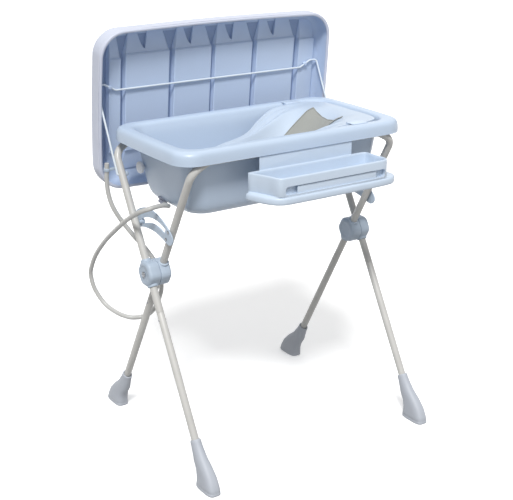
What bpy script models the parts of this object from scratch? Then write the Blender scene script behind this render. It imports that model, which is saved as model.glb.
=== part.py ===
"""Folding baby bath stand with a flip-up changing top. Metres, +Z up, floor at z = 0, X along the tub, -Y at the front."""

import math

import bmesh
import bpy
import numpy as np
from mathutils import Matrix, Vector

# Driving dimensions
TUBE_R = 0.0115
OUTER_X = 0.398
INNER_X = 0.360
HUB = (-0.0055, 0.5787)
OUTER_SLOPE = 0.571
INNER_SLOPE = -0.566
REAR_BAR = (0.2002, 0.939)
FRONT_BAR = (-0.203, 0.955)
SNAP_Z = 0.452
RIM_A, RIM_B = 0.405, 0.2216
RIM_TOP, WALL = 0.990, 0.003
LID_A, LID_B, LID_DEPTH = 0.4208, 0.2480, 0.0885
LID_MID = Vector((0.0, 0.22835, 1.01935))
LID_V = Vector((0.0, -0.1040, 0.99458))
LID_W = Vector((0.0, 0.99458, 0.1040))
PIVOT = (0.150, 0.850)
WIRE_R, WIRE_X, WIRE_DEPTH = 0.003, 0.413, 0.0505
HOSE_R = 0.0070
GAP = 0.0003

for old in list(bpy.data.objects):
    bpy.data.objects.remove(old, do_unlink=True)


# Helpers
def material(name, colour, roughness, metallic=0.0):
    mat = bpy.data.materials.new(name)
    mat.use_nodes = True
    shader = mat.node_tree.nodes["Principled BSDF"]
    shader.inputs["Base Color"].default_value = (*colour, 1.0)
    shader.inputs["Roughness"].default_value = roughness
    shader.inputs["Metallic"].default_value = metallic
    mat.diffuse_color = (*colour, 1.0)
    return mat


BLUE = (0.47, 0.57, 0.76)
STEEL_PAINT = (0.56, 0.55, 0.51)
HUB_BLUE = (0.42, 0.50, 0.60)
FOOT_BLUE = (0.45, 0.50, 0.60)


def make(name, mesh, colour, roughness=0.4, metallic=0.0, origin=(0, 0, 0)):
    """Adds the mesh as an object whose origin is at the given point."""
    mesh.transform(Matrix.Translation(-Vector(origin)))
    obj = bpy.data.objects.new(name, mesh)
    obj.location = origin
    mesh.materials.append(material(name + "_mat", colour, roughness, metallic))
    bpy.context.scene.collection.objects.link(obj)
    return obj


def mesh_from(bm, smooth=True):
    bmesh.ops.remove_doubles(bm, verts=bm.verts, dist=1e-6)
    bmesh.ops.recalc_face_normals(bm, faces=bm.faces)
    for face in bm.faces:
        face.smooth = smooth
    mesh = bpy.data.meshes.new("shape")
    bm.to_mesh(mesh)
    bm.free()
    return mesh


def skin(rings, close=False):
    """A closed body through rings of points, capped at both ends or joined end to start."""
    bm = bmesh.new()
    loops = [[bm.verts.new(p) for p in ring] for ring in rings]
    pairs = list(zip(loops, loops[1:]))
    if close:
        pairs.append((loops[-1], loops[0]))
    for low, high in pairs:
        count = len(low)
        for i in range(count):
            j = (i + 1) % count
            bm.faces.new((low[i], low[j], high[j], high[i]))
    if not close:
        bm.faces.new(loops[0][::-1])
        bm.faces.new(loops[-1])
    return mesh_from(bm)


def circle(centre, u, v, radius, count=24):
    centre, u, v = Vector(centre), Vector(u), Vector(v)
    turns = [2 * math.pi * i / count for i in range(count)]
    return [centre + radius * (math.cos(t) * u + math.sin(t) * v) for t in turns]


def across(direction):
    """Two unit vectors square to a direction."""
    direction = Vector(direction).normalized()
    side = Vector((1, 0, 0)) if abs(direction.x) < 0.9 else Vector((0, 1, 0))
    u = direction.cross(side).normalized()
    return u, direction.cross(u)


def lathe(start, direction, profile, count=24):
    """A round body from (distance along, radius) pairs."""
    direction = Vector(direction).normalized()
    u, v = across(direction)
    return skin([circle(Vector(start) + d * direction, u, v, r, count) for d, r in profile])


def rod(start, end, radius, count=24):
    start, end = Vector(start), Vector(end)
    return lathe(start, end - start, [(0, radius), ((end - start).length, radius)], count)


def box(low, high):
    bm = bmesh.new()
    size = [h - l for l, h in zip(low, high)]
    middle = [(h + l) / 2 for l, h in zip(low, high)]
    place = Matrix.Translation(middle) @ Matrix.Diagonal((*size, 1))
    bmesh.ops.create_cube(bm, size=1.0, matrix=place)
    return mesh_from(bm, smooth=False)


def prism(outline, x0, x1):
    """A plate between two X planes from (y, z) points."""
    bm = bmesh.new()
    near = [bm.verts.new((x0, y, z)) for y, z in outline]
    far = [bm.verts.new((x1, y, z)) for y, z in outline]
    bm.faces.new(near)
    bm.faces.new(far[::-1])
    for i in range(len(near)):
        j = (i + 1) % len(near)
        bm.faces.new((near[i], far[i], far[j], near[j]))
    return mesh_from(bm, smooth=False)


def fillet(corners, radii, steps=6):
    """A path through the corners with each inner corner rounded, by one radius or one each."""
    corners = [Vector(c) for c in corners]
    if isinstance(radii, float):
        radii = [radii] * (len(corners) - 2)
    path = [corners[0]]
    for before, here, after, radius in zip(corners, corners[1:], corners[2:], radii):
        a, b = (before - here).normalized(), (after - here).normalized()
        half = a.angle(b) / 2
        reach = radius / math.tan(half)
        centre = here + (a + b).normalized() * radius / math.sin(half)
        p, q = here + a * reach - centre, here + b * reach - centre
        turn = p.angle(q)
        for i in range(steps + 1):
            s = i / steps
            arm = (p * math.sin((1 - s) * turn) + q * math.sin(s * turn)) / math.sin(turn)
            path.append(centre + arm)
    path.append(corners[-1])
    return path


def pipe(path, radius, sides=3):
    """A round pipe mesh along a path, from a bevelled curve with filled caps."""
    curve = bpy.data.curves.new("path", "CURVE")
    curve.dimensions = "3D"
    curve.bevel_depth = radius
    curve.bevel_resolution = sides
    curve.use_fill_caps = True
    spline = curve.splines.new("POLY")
    spline.points.add(len(path) - 1)
    for point, place in zip(spline.points, path):
        point.co = (*place, 1.0)
    holder = bpy.data.objects.new("path", curve)
    bm = bmesh.new()
    bm.from_mesh(bpy.data.meshes.new_from_object(holder))
    bpy.data.objects.remove(holder)
    return mesh_from(bm)


def cut(obj, mesh, operation="DIFFERENCE"):
    """Cuts a mesh out of an object, or adds it, with an exact Boolean."""
    tool = bpy.data.objects.new(obj.name + "_tool", mesh)
    bpy.context.scene.collection.objects.link(tool)
    tool.hide_render = True
    tool.display_type = "WIRE"
    modifier = obj.modifiers.new(operation.title(), "BOOLEAN")
    modifier.operation = operation
    modifier.solver = "EXACT"
    modifier.object = tool
    return obj


def outer_y(z):
    return HUB[0] + OUTER_SLOPE * (z - HUB[1])


def inner_y(z):
    return HUB[0] + INNER_SLOPE * (z - HUB[1])


def mirror_names():
    return (("left", -1), ("right", 1))


# Frame tubes: two crossed U-frames in four lower legs
def frame_path(x, slope, bar):
    """Half of a U-frame's centre line, from its lower end to its crossbar."""
    low_z = SNAP_Z + 0.021
    low = Vector((x, HUB[0] + slope * (low_z - HUB[1]), low_z))
    knee_z = bar[1] - 0.045
    knee = Vector((x, HUB[0] + slope * (knee_z - HUB[1]), knee_z))
    top = Vector((math.copysign(abs(x) - 0.075, x), *bar))
    return fillet([low, knee, top, Vector((0, *bar))], 0.060, 7)[:-1]


def u_frame(name, x, slope, bar):
    left, right = frame_path(-x, slope, bar), frame_path(x, slope, bar)
    path = left + right[::-1]
    return make(name, pipe(path, TUBE_R, 4), STEEL_PAINT, 0.38, 0.0, (0, *HUB))


outer_frame = u_frame("outer_frame_tube", OUTER_X, OUTER_SLOPE, REAR_BAR)
inner_frame = u_frame("inner_frame_tube", INNER_X, INNER_SLOPE, FRONT_BAR)
for side, s in mirror_names():
    hole_x = sorted((s * (OUTER_X - 0.02), s * (OUTER_X + 0.02)))
    cut(outer_frame, rod((hole_x[0], *PIVOT), (hole_x[1], *PIVOT), WIRE_R + GAP, 16))


def lower_leg(name, x, y_of):
    top_z, end_z = SNAP_Z + 0.0207, 0.060
    leg = make(name, rod((x, y_of(end_z), end_z), (x, y_of(top_z), top_z), TUBE_R), STEEL_PAINT)
    pin = (y_of(SNAP_Z), SNAP_Z)
    cut(leg, rod((x - 0.02, *pin), (x + 0.02, *pin), 0.0038, 16))
    reach = TUBE_R + 0.0022
    shape = [(0, 0.0012), (0.0012, 0.003), (0.0022, 0.0035)]
    shape += [(2 * reach - d, r) for d, r in reversed(shape)]
    button = lathe((x - reach, *pin), (1, 0, 0), shape, 12)
    make(name.replace("leg", "snap_pin"), button, (0.30, 0.32, 0.34), 0.35, 0.6)


def foot(name, x, y_of, way):
    """A flared shoe: an oval sole at the floor, drawn up to a round collar on the leg."""
    # height, how far the middle leaves the leg line, half-width, half-depth, tilt, squareness
    rows = [
        (0.000, 0.0000, 0.0205, 0.0450, 0.0, 2.9),
        (0.003, 0.0000, 0.0225, 0.0468, 0.0, 2.9),
        (0.018, 0.0005, 0.0222, 0.0440, 0.1, 2.8),
        (0.040, 0.0010, 0.0208, 0.0360, 0.3, 2.6),
        (0.062, 0.0005, 0.0192, 0.0278, 0.5, 2.4),
        (0.085, 0.0000, 0.0176, 0.0212, 0.8, 2.2),
        (0.110, 0.0000, 0.0162, 0.0170, 1.0, 2.0),
        (0.131, 0.0000, 0.0152, 0.0154, 1.0, 2.0),
        (0.134, 0.0000, 0.0136, 0.0138, 1.0, 2.0),
    ]
    slope = y_of(1.0) - y_of(0.0)
    rings = []
    for z, shift, wide, deep, tilt, power in rows:
        sole_y = way * 0.3300
        keep = min(z / 0.085, 1.0)
        centre = (1 - keep) * sole_y + keep * y_of(z) + way * shift
        ring = []
        for i in range(20):
            t = 2 * math.pi * i / 20
            c, q = math.cos(t), math.sin(t)
            dx = wide * math.copysign(abs(c) ** (2 / power), c)
            dy = deep * math.copysign(abs(q) ** (2 / power), q)
            ring.append((x + dx, centre + dy, z - tilt * slope * dy))
        rings.append(ring)
    shoe = make(name, skin(rings), FOOT_BLUE, 0.5)
    low, high = 0.0570, 0.16
    socket = rod((x, y_of(low), low), (x, y_of(high), high), TUBE_R + GAP)
    cut(shoe, socket)


for side, s in mirror_names():
    lower_leg("front_leg_" + side, s * OUTER_X, outer_y)
    lower_leg("rear_leg_" + side, s * INNER_X, inner_y)
    foot("front_foot_" + side, s * OUTER_X, outer_y, -1)
    foot("rear_foot_" + side, s * INNER_X, inner_y, 1)


# Hubs: two halves a side, turning on a round boss
def hub_half(name, x, s, y_of, thick, boss):
    """A rounded drum with a sleeve along its tube, bored for the tube."""
    radius = 0.041
    inner_face = x - s * (thick / 2 - 0.0005)
    turn = 0.007
    shape = [(0, radius - 0.001), (0.001, radius), (thick - turn, radius)]
    shape += [(thick - turn * 0.35, radius - turn * 0.25), (thick - 0.0005, radius - turn * 0.8)]
    shape += [(thick, radius - turn * 1.3)]
    outward = s if boss else -s
    start = x - outward * thick / 2
    half = make(name, lathe((start, *HUB), (outward, 0, 0), shape, 30), HUB_BLUE, 0.45)
    half.location = (0, *HUB)
    half.data.transform(Matrix.Translation((0, -HUB[0], -HUB[1])))
    ends = [(x, y_of(HUB[1] + dz), HUB[1] + dz) for dz in (-0.0375, 0.0375)]
    cut(half, rod(ends[0], ends[1], 0.0165, 20), "UNION")
    face = start
    if boss:
        cut(half, rod((face - s * 0.0052, *HUB), (face + s * 0.002, *HUB), 0.0140, 20), "UNION")
    else:
        face = x + s * thick / 2
        cut(half, rod((face - s * 0.0058, *HUB), (face + s * 0.002, *HUB), 0.0144, 20))
    ends = [(x, y_of(HUB[1] + dz), HUB[1] + dz) for dz in (-0.07, 0.07)]
    cut(half, rod(ends[0], ends[1], TUBE_R + GAP))
    return half


for side, s in mirror_names():
    hub_half("hub_outer_" + side, s * 0.3980, s, outer_y, 0.0370, True)
    hub_half("hub_inner_" + side, s * 0.3597, s, inner_y, 0.0370, False)
    cap_shape = [(0, 0.0085), (0.0022, 0.0085), (0.0034, 0.0072), (0.0040, 0.0045)]
    cap = lathe((s * (0.4165 + GAP), *HUB), (s, 0, 0), cap_shape, 16)
    make("hub_bolt_" + side, cap, (0.32, 0.35, 0.38), 0.35, 0.7, (0, *HUB))


# Fold quadrants: a slotted arm riveted to the inner frame, with the outer frame's pin in its slot
def on_arc(radius, degrees):
    t = math.radians(degrees)
    return (HUB[0] + radius * math.sin(t), HUB[1] + radius * math.cos(t))


def quadrant(side, s):
    outer = [(38, 0.197), (30, 0.199), (20, 0.197), (8, 0.1925), (-7, 0.1845), (-20, 0.179)]
    outer += [(-30, 0.1765), (-37, 0.173), (-40.5, 0.165)]
    inner = [(-41, 0.150), (-38, 0.138), (-30, 0.131), (-14, 0.1265), (0, 0.1275)]
    inner += [(14, 0.1315), (26, 0.139), (36, 0.147), (41.5, 0.155), (42.5, 0.170), (41, 0.187)]
    outline = [on_arc(r, a) for a, r in outer + inner]
    faces = sorted((s * (INNER_X + 0.0125), s * (INNER_X + 0.0165)))
    plate = make("quadrant_" + side, prism(outline, *faces), BLUE, 0.4, 0.0, (0, *HUB))
    bends = [33 - 5 * i for i in range(12)]
    slot = [on_arc(0.1665, a) for a in bends] + [on_arc(0.1500, a) for a in bends[::-1]]
    cut(plate, prism(slot, faces[0] - 0.01, faces[1] + 0.01))
    for i, radius in enumerate((0.1415, 0.1705), 1):
        spot = on_arc(radius, -29.6)
        cut(plate, rod((s * 0.36, *spot), (s * 0.39, *spot), 0.0031, 16))
        shape = [(0, 0.0028), (0.00458, 0.0028), (0.0046, 0.0052), (0.0060, 0.0050), (0.0068, 0.0030)]
        rivet = lathe((s * 0.3722, *spot), (s, 0, 0), shape, 12)
        make(f"rivet_{side}_{i}", rivet, (0.55, 0.56, 0.58), 0.35, 0.7)
    spot = on_arc(0.1583, 29.73)
    shape = [(0, 0.0085), (0.0028, 0.0095), (0.00305, 0.0095), (0.0031, 0.0062), (0.0171, 0.0062)]
    pin = lathe((s * 0.3691, *spot), (s, 0, 0), shape, 16)
    cut(make("slot_pin_" + side, pin, HUB_BLUE, 0.45), tube_cutter(s * OUTER_X, outer_y))


def tube_cutter(x, y_of):
    return rod((x, y_of(0.5), 0.5), (x, y_of(0.88), 0.88), TUBE_R + GAP, 24)


for side, s in mirror_names():
    quadrant(side, s)


# Tub: one shell, from the skirt over the rim and down the basin, 3 mm thick
def rounded_ring(a, b, radius, bow, z, along=1):
    """A rounded rectangle whose ends bow outwards; along is the number of points on a long side."""
    radius = min(radius, b - 0.012)
    points = []
    for k, (sx, sy) in enumerate(((1, 1), (-1, 1), (-1, -1), (1, -1))):
        centre = (sx * (a - radius), sy * (b - radius))
        for i in range(7):
            t = math.radians(90 * k + 15 * i)
            points.append((centre[0] + radius * math.cos(t), centre[1] + radius * math.sin(t)))
        count = along if k % 2 == 0 else 3
        for i in range(1, count + 1):
            s = 1 - 2 * i / (count + 1)
            points.append((sx * s * (a - radius), sy * b) if k % 2 == 0 else (sx * a, sy * s * (b - radius)))
    ring = []
    for x, y in points:
        swell = bow * max(0.0, 1 - (y / b) ** 2) * min(1.0, abs(x) / (a - radius))
        ring.append((x + math.copysign(swell, x), y, z))
    return ring


def offset(profile, amount):
    """A profile moved square to itself."""
    moved = []
    for i, (d, z) in enumerate(profile):
        d0, z0 = profile[max(i - 1, 0)]
        d1, z1 = profile[min(i + 1, len(profile) - 1)]
        length = math.hypot(d1 - d0, z1 - z0)
        moved.append((d + amount * (z1 - z0) / length, z - amount * (d1 - d0) / length))
    return moved


TUB_PROFILE = [
    (0.0000, 0.9500), (0.0003, 0.9680), (0.0025, 0.9800), (0.0080, 0.9872), (0.0165, 0.9900),
    (0.0310, 0.9900), (0.0375, 0.9885), (0.0425, 0.9840), (0.0465, 0.9750), (0.0520, 0.9550),
    (0.0575, 0.9150), (0.0630, 0.8750), (0.0700, 0.8350), (0.0755, 0.8100), (0.0830, 0.7920),
    (0.0960, 0.7790), (0.1120, 0.7738), (0.1400, 0.7730),
]


def tub_ring(d, z):
    return rounded_ring(RIM_A - 0.0065 - d, RIM_B - d, 0.062 + 0.3 * d, 0.0065, z)


def build_tub():
    inside = TUB_PROFILE
    outside = offset(inside, WALL)
    outside[0] = (WALL, inside[0][1])
    rings = [tub_ring(d, z) for d, z in reversed(inside)]
    rings += [tub_ring(d, z) for d, z in outside]
    return make("tub", skin(rings), BLUE, 0.35)


tub = build_tub()
DRAIN = Vector((-0.3148, 0.045, 0.7855))
DRAIN_WAY = Vector((-1.0, 0.0, -1.0)).normalized()
cut(tub, rod(DRAIN - 0.02 * DRAIN_WAY, DRAIN + 0.02 * DRAIN_WAY, 0.0095, 20))
plug_shape = [(0, 0.0075), (0.0060, 0.0090), (0.0061, 0.0135), (0.0080, 0.0140), (0.0092, 0.0120)]
plug_shape += [(0.0096, 0.0040), (0.0150, 0.0035), (0.0165, 0.0060), (0.0190, 0.0050)]
plug = lathe(DRAIN + 0.0030 * DRAIN_WAY, -DRAIN_WAY, plug_shape, 20)
make("drain_plug", plug, (0.72, 0.76, 0.80), 0.4, 0.0, DRAIN)
fitting_shape = [(0, 0.0165), (0.0030, 0.0170), (0.0045, 0.0155), (0.0046, 0.0100), (0.0130, 0.0095)]
base = DRAIN + 0.0034 * DRAIN_WAY
fitting = make("drain_fitting", lathe(base, DRAIN_WAY, fitting_shape, 20), (0.50, 0.54, 0.60), 0.5)
SPIGOT = DRAIN + 0.0120 * DRAIN_WAY
HOSE_END = SPIGOT + Vector((-0.003, -0.024, 0.0))
cut(fitting, rod(SPIGOT, HOSE_END, 0.0055, 16), "UNION")

cap_shape = [(0, 0.0060), (0.0085, 0.0060), (0.0087, 0.0165), (0.0105, 0.0185), (0.0165, 0.0185), (0.0190, 0.0165)]
cap_shape += [(0.0192, 0.0110), (0.0180, 0.0100)]
make("wall_cap", lathe((-0.3415, 0.1120, 0.8735), (-1, 0, 0), cap_shape, 24), (0.86, 0.87, 0.90), 0.3)


def saddle(name, s, bar, y0, y1, low, high):
    block = make(name, box((s * 0.220 - 0.014, y0, low), (s * 0.220 + 0.014, y1, high)), BLUE, 0.4)
    cut(block, rod((s * 0.220 - 0.03, *bar), (s * 0.220 + 0.03, *bar), TUBE_R + GAP, 32))


for side, s in mirror_names():
    saddle("rear_saddle_" + side, s, REAR_BAR, 0.1905, 0.2065, 0.9440, 0.9864)
    saddle("front_saddle_" + side, s, FRONT_BAR, -0.2155, -0.2085, 0.9515, 0.9780)


# Insert seat: a tongue-shaped trough with a sloped back, hung in the tub's right half, with a soft liner
# Each row: x, half width, height of the edge, half width of the pad, height there, height of the middle
SEAT_ROWS = [
    (-0.165, 0.003, 0.9260, 0.0015, 0.9258, 0.9255), (-0.155, 0.013, 0.9270, 0.0065, 0.9262, 0.9255),
    (-0.135, 0.024, 0.9285, 0.0120, 0.9265, 0.9245), (-0.100, 0.036, 0.9310, 0.0180, 0.9250, 0.9215),
    (-0.060, 0.048, 0.9330, 0.0250, 0.9200, 0.9150), (-0.020, 0.064, 0.9365, 0.0340, 0.9120, 0.9040),
    (0.020, 0.087, 0.9420, 0.0440, 0.9020, 0.8910), (0.060, 0.114, 0.9550, 0.0510, 0.8930, 0.8800),
    (0.100, 0.139, 0.9660, 0.0560, 0.8960, 0.8745), (0.130, 0.153, 0.9750, 0.0600, 0.9080, 0.8760),
    (0.165, 0.163, 0.9830, 0.0660, 0.9320, 0.8900), (0.200, 0.167, 0.9860, 0.0700, 0.9560, 0.9150),
    (0.235, 0.168, 0.9865, 0.0750, 0.9770, 0.9410), (0.262, 0.168, 0.9865, 0.0780, 0.9840, 0.9580),
    (0.290, 0.167, 0.9865, 0.0800, 0.9855, 0.9700), (0.318, 0.159, 0.9865, 0.0820, 0.9860, 0.9780),
    (0.338, 0.140, 0.9865, 0.0800, 0.9862, 0.9825), (0.348, 0.100, 0.9862, 0.0600, 0.9860, 0.9840),
    (0.352, 0.040, 0.9860, 0.0300, 0.9859, 0.9850),
]
LEDGE = ((0.0, 0.25, 0.45, 0.60, 0.80, 0.92, 1.0), (0.0, 0.38, 0.72, 0.82, 0.90, 1.0, 1.0))


def between(rows):
    """The same rows with one more halfway between each two."""
    out = []
    for a, b in zip(rows, rows[1:]):
        out += [a, tuple((p + q) / 2 for p, q in zip(a, b))]
    return out + [rows[-1]]


def seat_height(row, y):
    _, wide, edge, pad, side, middle = row
    if y <= pad:
        return middle + (side - middle) * (y / pad) ** 2
    return side + (edge - side) * float(np.interp((y - pad) / (wide - pad), *LEDGE))


def seat_ring(row, places, low, high):
    """A closed section across the seat, between two lifts off its surface."""
    x = row[0]
    across = [(y, seat_height(row, abs(y))) for y in [-y for y in places[:0:-1]] + places]
    return [(x, y, z + high) for y, z in across] + [(x, y, z + low) for y, z in across[::-1]]


def build_seat():
    rings = []
    for row in SEAT_ROWS[:6] + between(SEAT_ROWS[6:15]) + SEAT_ROWS[15:]:
        wide, pad = row[1], row[3]
        places = [f * pad for f in (0.0, 0.3, 0.6, 0.8, 1.0)]
        places += [pad + f * (wide - pad) for f in (0.25, 0.45, 0.80, 1.0)]
        rings.append(seat_ring(row, places, -0.0032, 0.0))
    seat = make("insert_seat", skin(rings), BLUE, 0.35)
    for s in (-1, 1):
        rows = [(0.158, 0.1745, 0.9835, 0.9922), (0.170, 0.1960, 0.9903, 0.9922)]
        for near, far, low, high in rows:
            span = sorted((s * near, s * far))
            cut(seat, box((0.212, span[0], low), (0.268, span[1], high)), "UNION")


def build_liner():
    rings = []
    for row in between(SEAT_ROWS[6:14]):
        pad = row[3] - 0.0010
        rings.append(seat_ring(row, [f * pad for f in (0.0, 0.3, 0.6, 0.8, 1.0)], 0.0026, 0.0078))
    make("insert_liner", skin(rings), (0.38, 0.37, 0.34), 0.85)


build_seat()
build_liner()


# Object tray: a bin on an apron that snaps up inside the front skirt
def closed_outline(points, count=44):
    """A closed smooth outline with evenly spaced points."""
    size = len(points)
    dense = []
    for i in range(size):
        p0, p1, p2, p3 = (Vector(points[(i + k) % size]) for k in (-1, 0, 1, 2))
        for k in range(16):
            t = k / 16
            swing = (p2 - p0) * 0.35, (p3 - p1) * 0.35
            a, b = 2 * t**3 - 3 * t**2 + 1, t**3 - 2 * t**2 + t
            c, d = -2 * t**3 + 3 * t**2, t**3 - t**2
            dense.append(p1 * a + swing[0] * b + p2 * c + swing[1] * d)
    lengths = [0.0]
    for p, q in zip(dense, dense[1:] + dense[:1]):
        lengths.append(lengths[-1] + (q - p).length)
    out, k = [], 0
    for i in range(count):
        want = lengths[-1] * i / count
        while lengths[k + 1] < want:
            k += 1
        f = (want - lengths[k]) / (lengths[k + 1] - lengths[k])
        out.append(dense[k].lerp(dense[(k + 1) % len(dense)], f))
    back = max(y for _, y in points)
    return [Vector((p.x, min(p.y, back))) for p in out]


BIN = [
    (-0.182, -0.2160), (-0.172, -0.2480), (-0.158, -0.2850), (-0.150, -0.3120), (-0.136, -0.3270),
    (-0.050, -0.3300), (0.080, -0.3300), (0.215, -0.3300), (0.243, -0.3220), (0.251, -0.3000),
    (0.247, -0.2650), (0.238, -0.2160), (0.120, -0.2160), (0.000, -0.2160), (-0.100, -0.2160),
]
FLANGE = [
    (-0.190, -0.2190), (-0.185, -0.2520), (-0.160, -0.2880), (-0.132, -0.3170), (-0.100, -0.3310),
    (-0.020, -0.3335), (0.100, -0.3335), (0.210, -0.3330), (0.262, -0.3270), (0.287, -0.3080),
    (0.294, -0.2840), (0.276, -0.2500), (0.170, -0.2190), (0.040, -0.2190), (-0.090, -0.2190),
]


def shrunk(outline, amount):
    size = len(outline)
    out = []
    for i, p in enumerate(outline):
        along = (outline[(i + 1) % size] - outline[i - 1]).normalized()
        out.append(p + amount * Vector((-along.y, along.x)))
    return out


def build_tray():
    bin_line, flange = closed_outline(BIN), closed_outline(FLANGE)
    rows = [
        (shrunk(flange, 0.004), 0.8285), (shrunk(flange, 0.001), 0.8310), (flange, 0.8400),
        (shrunk(flange, 0.001), 0.8480), (bin_line, 0.8530), (bin_line, 0.9040),
        (shrunk(bin_line, 0.0012), 0.9070), (shrunk(bin_line, 0.0030), 0.9080),
    ]
    tray = make("object_tray", skin([[(p.x, p.y, z) for p in line] for line, z in rows]), BLUE, 0.38)
    cut(tray, box((-0.143, -0.2178, 0.8900), (0.190, -0.2156, 0.9700)), "UNION")
    hollow = [
        [(p.x, p.y, z) for p in shrunk(closed_outline(BIN), inset)]
        for inset, z in ((0.012, 0.8545), (0.0085, 0.8580), (0.0075, 0.9200))
    ]
    low, high = -0.3040, -0.2195
    hollow = [[(x, min(max(y, low), high), z) for x, y, z in ring] for ring in hollow]
    cut(tray, skin(hollow))
    middle = (0.05, -0.345, 0.857)
    corners = [middle, (-0.127, -0.345, 0.857), (-0.127, -0.345, 0.882), (0.232, -0.345, 0.882)]
    slot = fillet(corners + [(0.232, -0.345, 0.857), middle], 0.008, 4)[:-1]
    cut(tray, skin([slot, [p + Vector((0, 0.036, 0)) for p in slot]]))
    under = [[(p.x, p.y, z) for p in shrunk(bin_line, 0.006)] for z in (0.820, 0.8505)]
    cut(tray, skin(under))
    return tray


build_tray()


# Changing top: moulded tray with six blocks under a padded cover, on a wire bail
def lid_point(u, v, w):
    return LID_MID + Vector((u, 0, 0)) + v * LID_V + w * LID_W


def lid_ring(inset, w):
    ring = rounded_ring(LID_A - inset, LID_B - inset, 0.075 - 0.5 * inset, 0.0058, 0, 5)
    out = []
    for u, v, _ in ring:
        crown = 0.0082 * max(0.0, 1 - (u / LID_A) ** 2)
        lift = math.copysign(crown * min(1, abs(v) / (LID_B - 0.08)), v)
        out.append(lid_point(u, v + lift, w))
    return out


def build_cover():
    outside = [(0.0, 0.0), (0.0, 0.046), (0.0015, 0.056), (0.0055, 0.066), (0.0120, 0.0755)]
    outside += [(0.0215, 0.0830), (0.0330, 0.0870), (0.0500, LID_DEPTH)]
    inside = [(0.0035, 0.0), (0.0035, 0.0440), (0.0068, 0.0600), (0.0130, 0.0700)]
    inside += [(0.0230, 0.0775), (0.0350, 0.0808), (0.0600, 0.0812)]
    rings = [lid_ring(i, w) for i, w in reversed(inside)] + [lid_ring(i, w) for i, w in outside]
    make("top_cover", skin(rings), (0.80, 0.80, 0.79), 0.55, 0.0, (0, *PIVOT))


def build_shell():
    outside = [(0.0038, 0.0010), (0.0038, 0.0440), (0.0071, 0.0598), (0.0133, 0.0697)]
    outside += [(0.0233, 0.0772), (0.0353, 0.0805), (0.0600, 0.0809)]
    inside = [(0.0068, 0.0010), (0.0068, 0.0430), (0.0100, 0.0580), (0.0160, 0.0672)]
    inside += [(0.0250, 0.0732), (0.0365, 0.0757), (0.0600, 0.0760)]
    rings = [lid_ring(i, w) for i, w in reversed(inside)] + [lid_ring(i, w) for i, w in outside]
    shell = make("top_shell", skin(rings), BLUE, 0.38, 0.0, (0, *PIVOT))
    for u0, u1 in ((-0.386, -0.334), (-0.318, -0.162), (-0.146, -0.008), (0.008, 0.146), (0.162, 0.318), (0.334, 0.386)):
        rings = []
        base = 0.0774 if abs(u0 + u1) > 0.7 else 0.0784
        for w, v0, v1, grow in ((0.0560, -0.150, 0.160, 0.0), (base, -0.208, 0.215, 0.004)):
            if base < 0.078:
                v0, v1 = 0.90 * v0, 0.90 * v1
            corners = ((u0 - grow, v0), (u1 + grow, v0), (u1 + grow, v1), (u0 - grow, v1))
            rings.append([lid_point(u, v, w) for u, v in corners])
        block = skin(rings)
        cut(shell, block, "UNION")
    return shell


def wire_path():
    """Half of the bail, from its inturned end in the tube to the middle of its crossbar."""
    side = lid_point(WIRE_X, 0.0770, WIRE_DEPTH)
    corners = [
        (0.3790, *PIVOT), (WIRE_X, *PIVOT), side, lid_point(0.386, 0.0770, WIRE_DEPTH),
        lid_point(0.347, 0.0555, WIRE_DEPTH), lid_point(0.0, 0.0555, WIRE_DEPTH),
    ]
    return fillet(corners, [0.0034, 0.008, 0.007, 0.007], 4)


def build_bail():
    half = wire_path()
    other = [Vector((-p.x, p.y, p.z)) for p in half[:-1]]
    make("bail_wire", pipe(half + other[::-1], WIRE_R, 2), (0.70, 0.76, 0.82), 0.35, 0.0, (0, *PIVOT))
    for side, s in mirror_names():
        shape = [(0, 0.0078), (0.0020, 0.0080), (0.0060, 0.0068), (0.0085, 0.0042), (0.0095, 0.0015)]
        cap = make("bail_cap_" + side, lathe((s * 0.3862, *PIVOT), (-s, 0, 0), shape, 20), HUB_BLUE, 0.4)
        cut(cap, rod((s * 0.3785, *PIVOT), (s * 0.40, *PIVOT), WIRE_R + GAP, 16))
        middle = lid_point(s * 0.3665, 0.06625, WIRE_DEPTH)
        along = (lid_point(s * 0.386, 0.0770, WIRE_DEPTH) - lid_point(s * 0.347, 0.0555, WIRE_DEPTH)).normalized()
        square = along.cross(LID_W).normalized()
        rings = []
        for w in (-0.0048, 0.0052):
            spots = ((-0.005, -0.0055), (0.005, -0.0055), (0.005, 0.0055), (-0.005, 0.0055))
            rings.append([middle + a * along + b * square + w * LID_W for a, b in spots])
        clip = make("bail_clip_" + side, skin(rings), BLUE, 0.4)
        cut(clip, rod(middle - 0.03 * along, middle + 0.03 * along, WIRE_R + GAP, 16))


build_cover()
build_shell()
build_bail()


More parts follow.
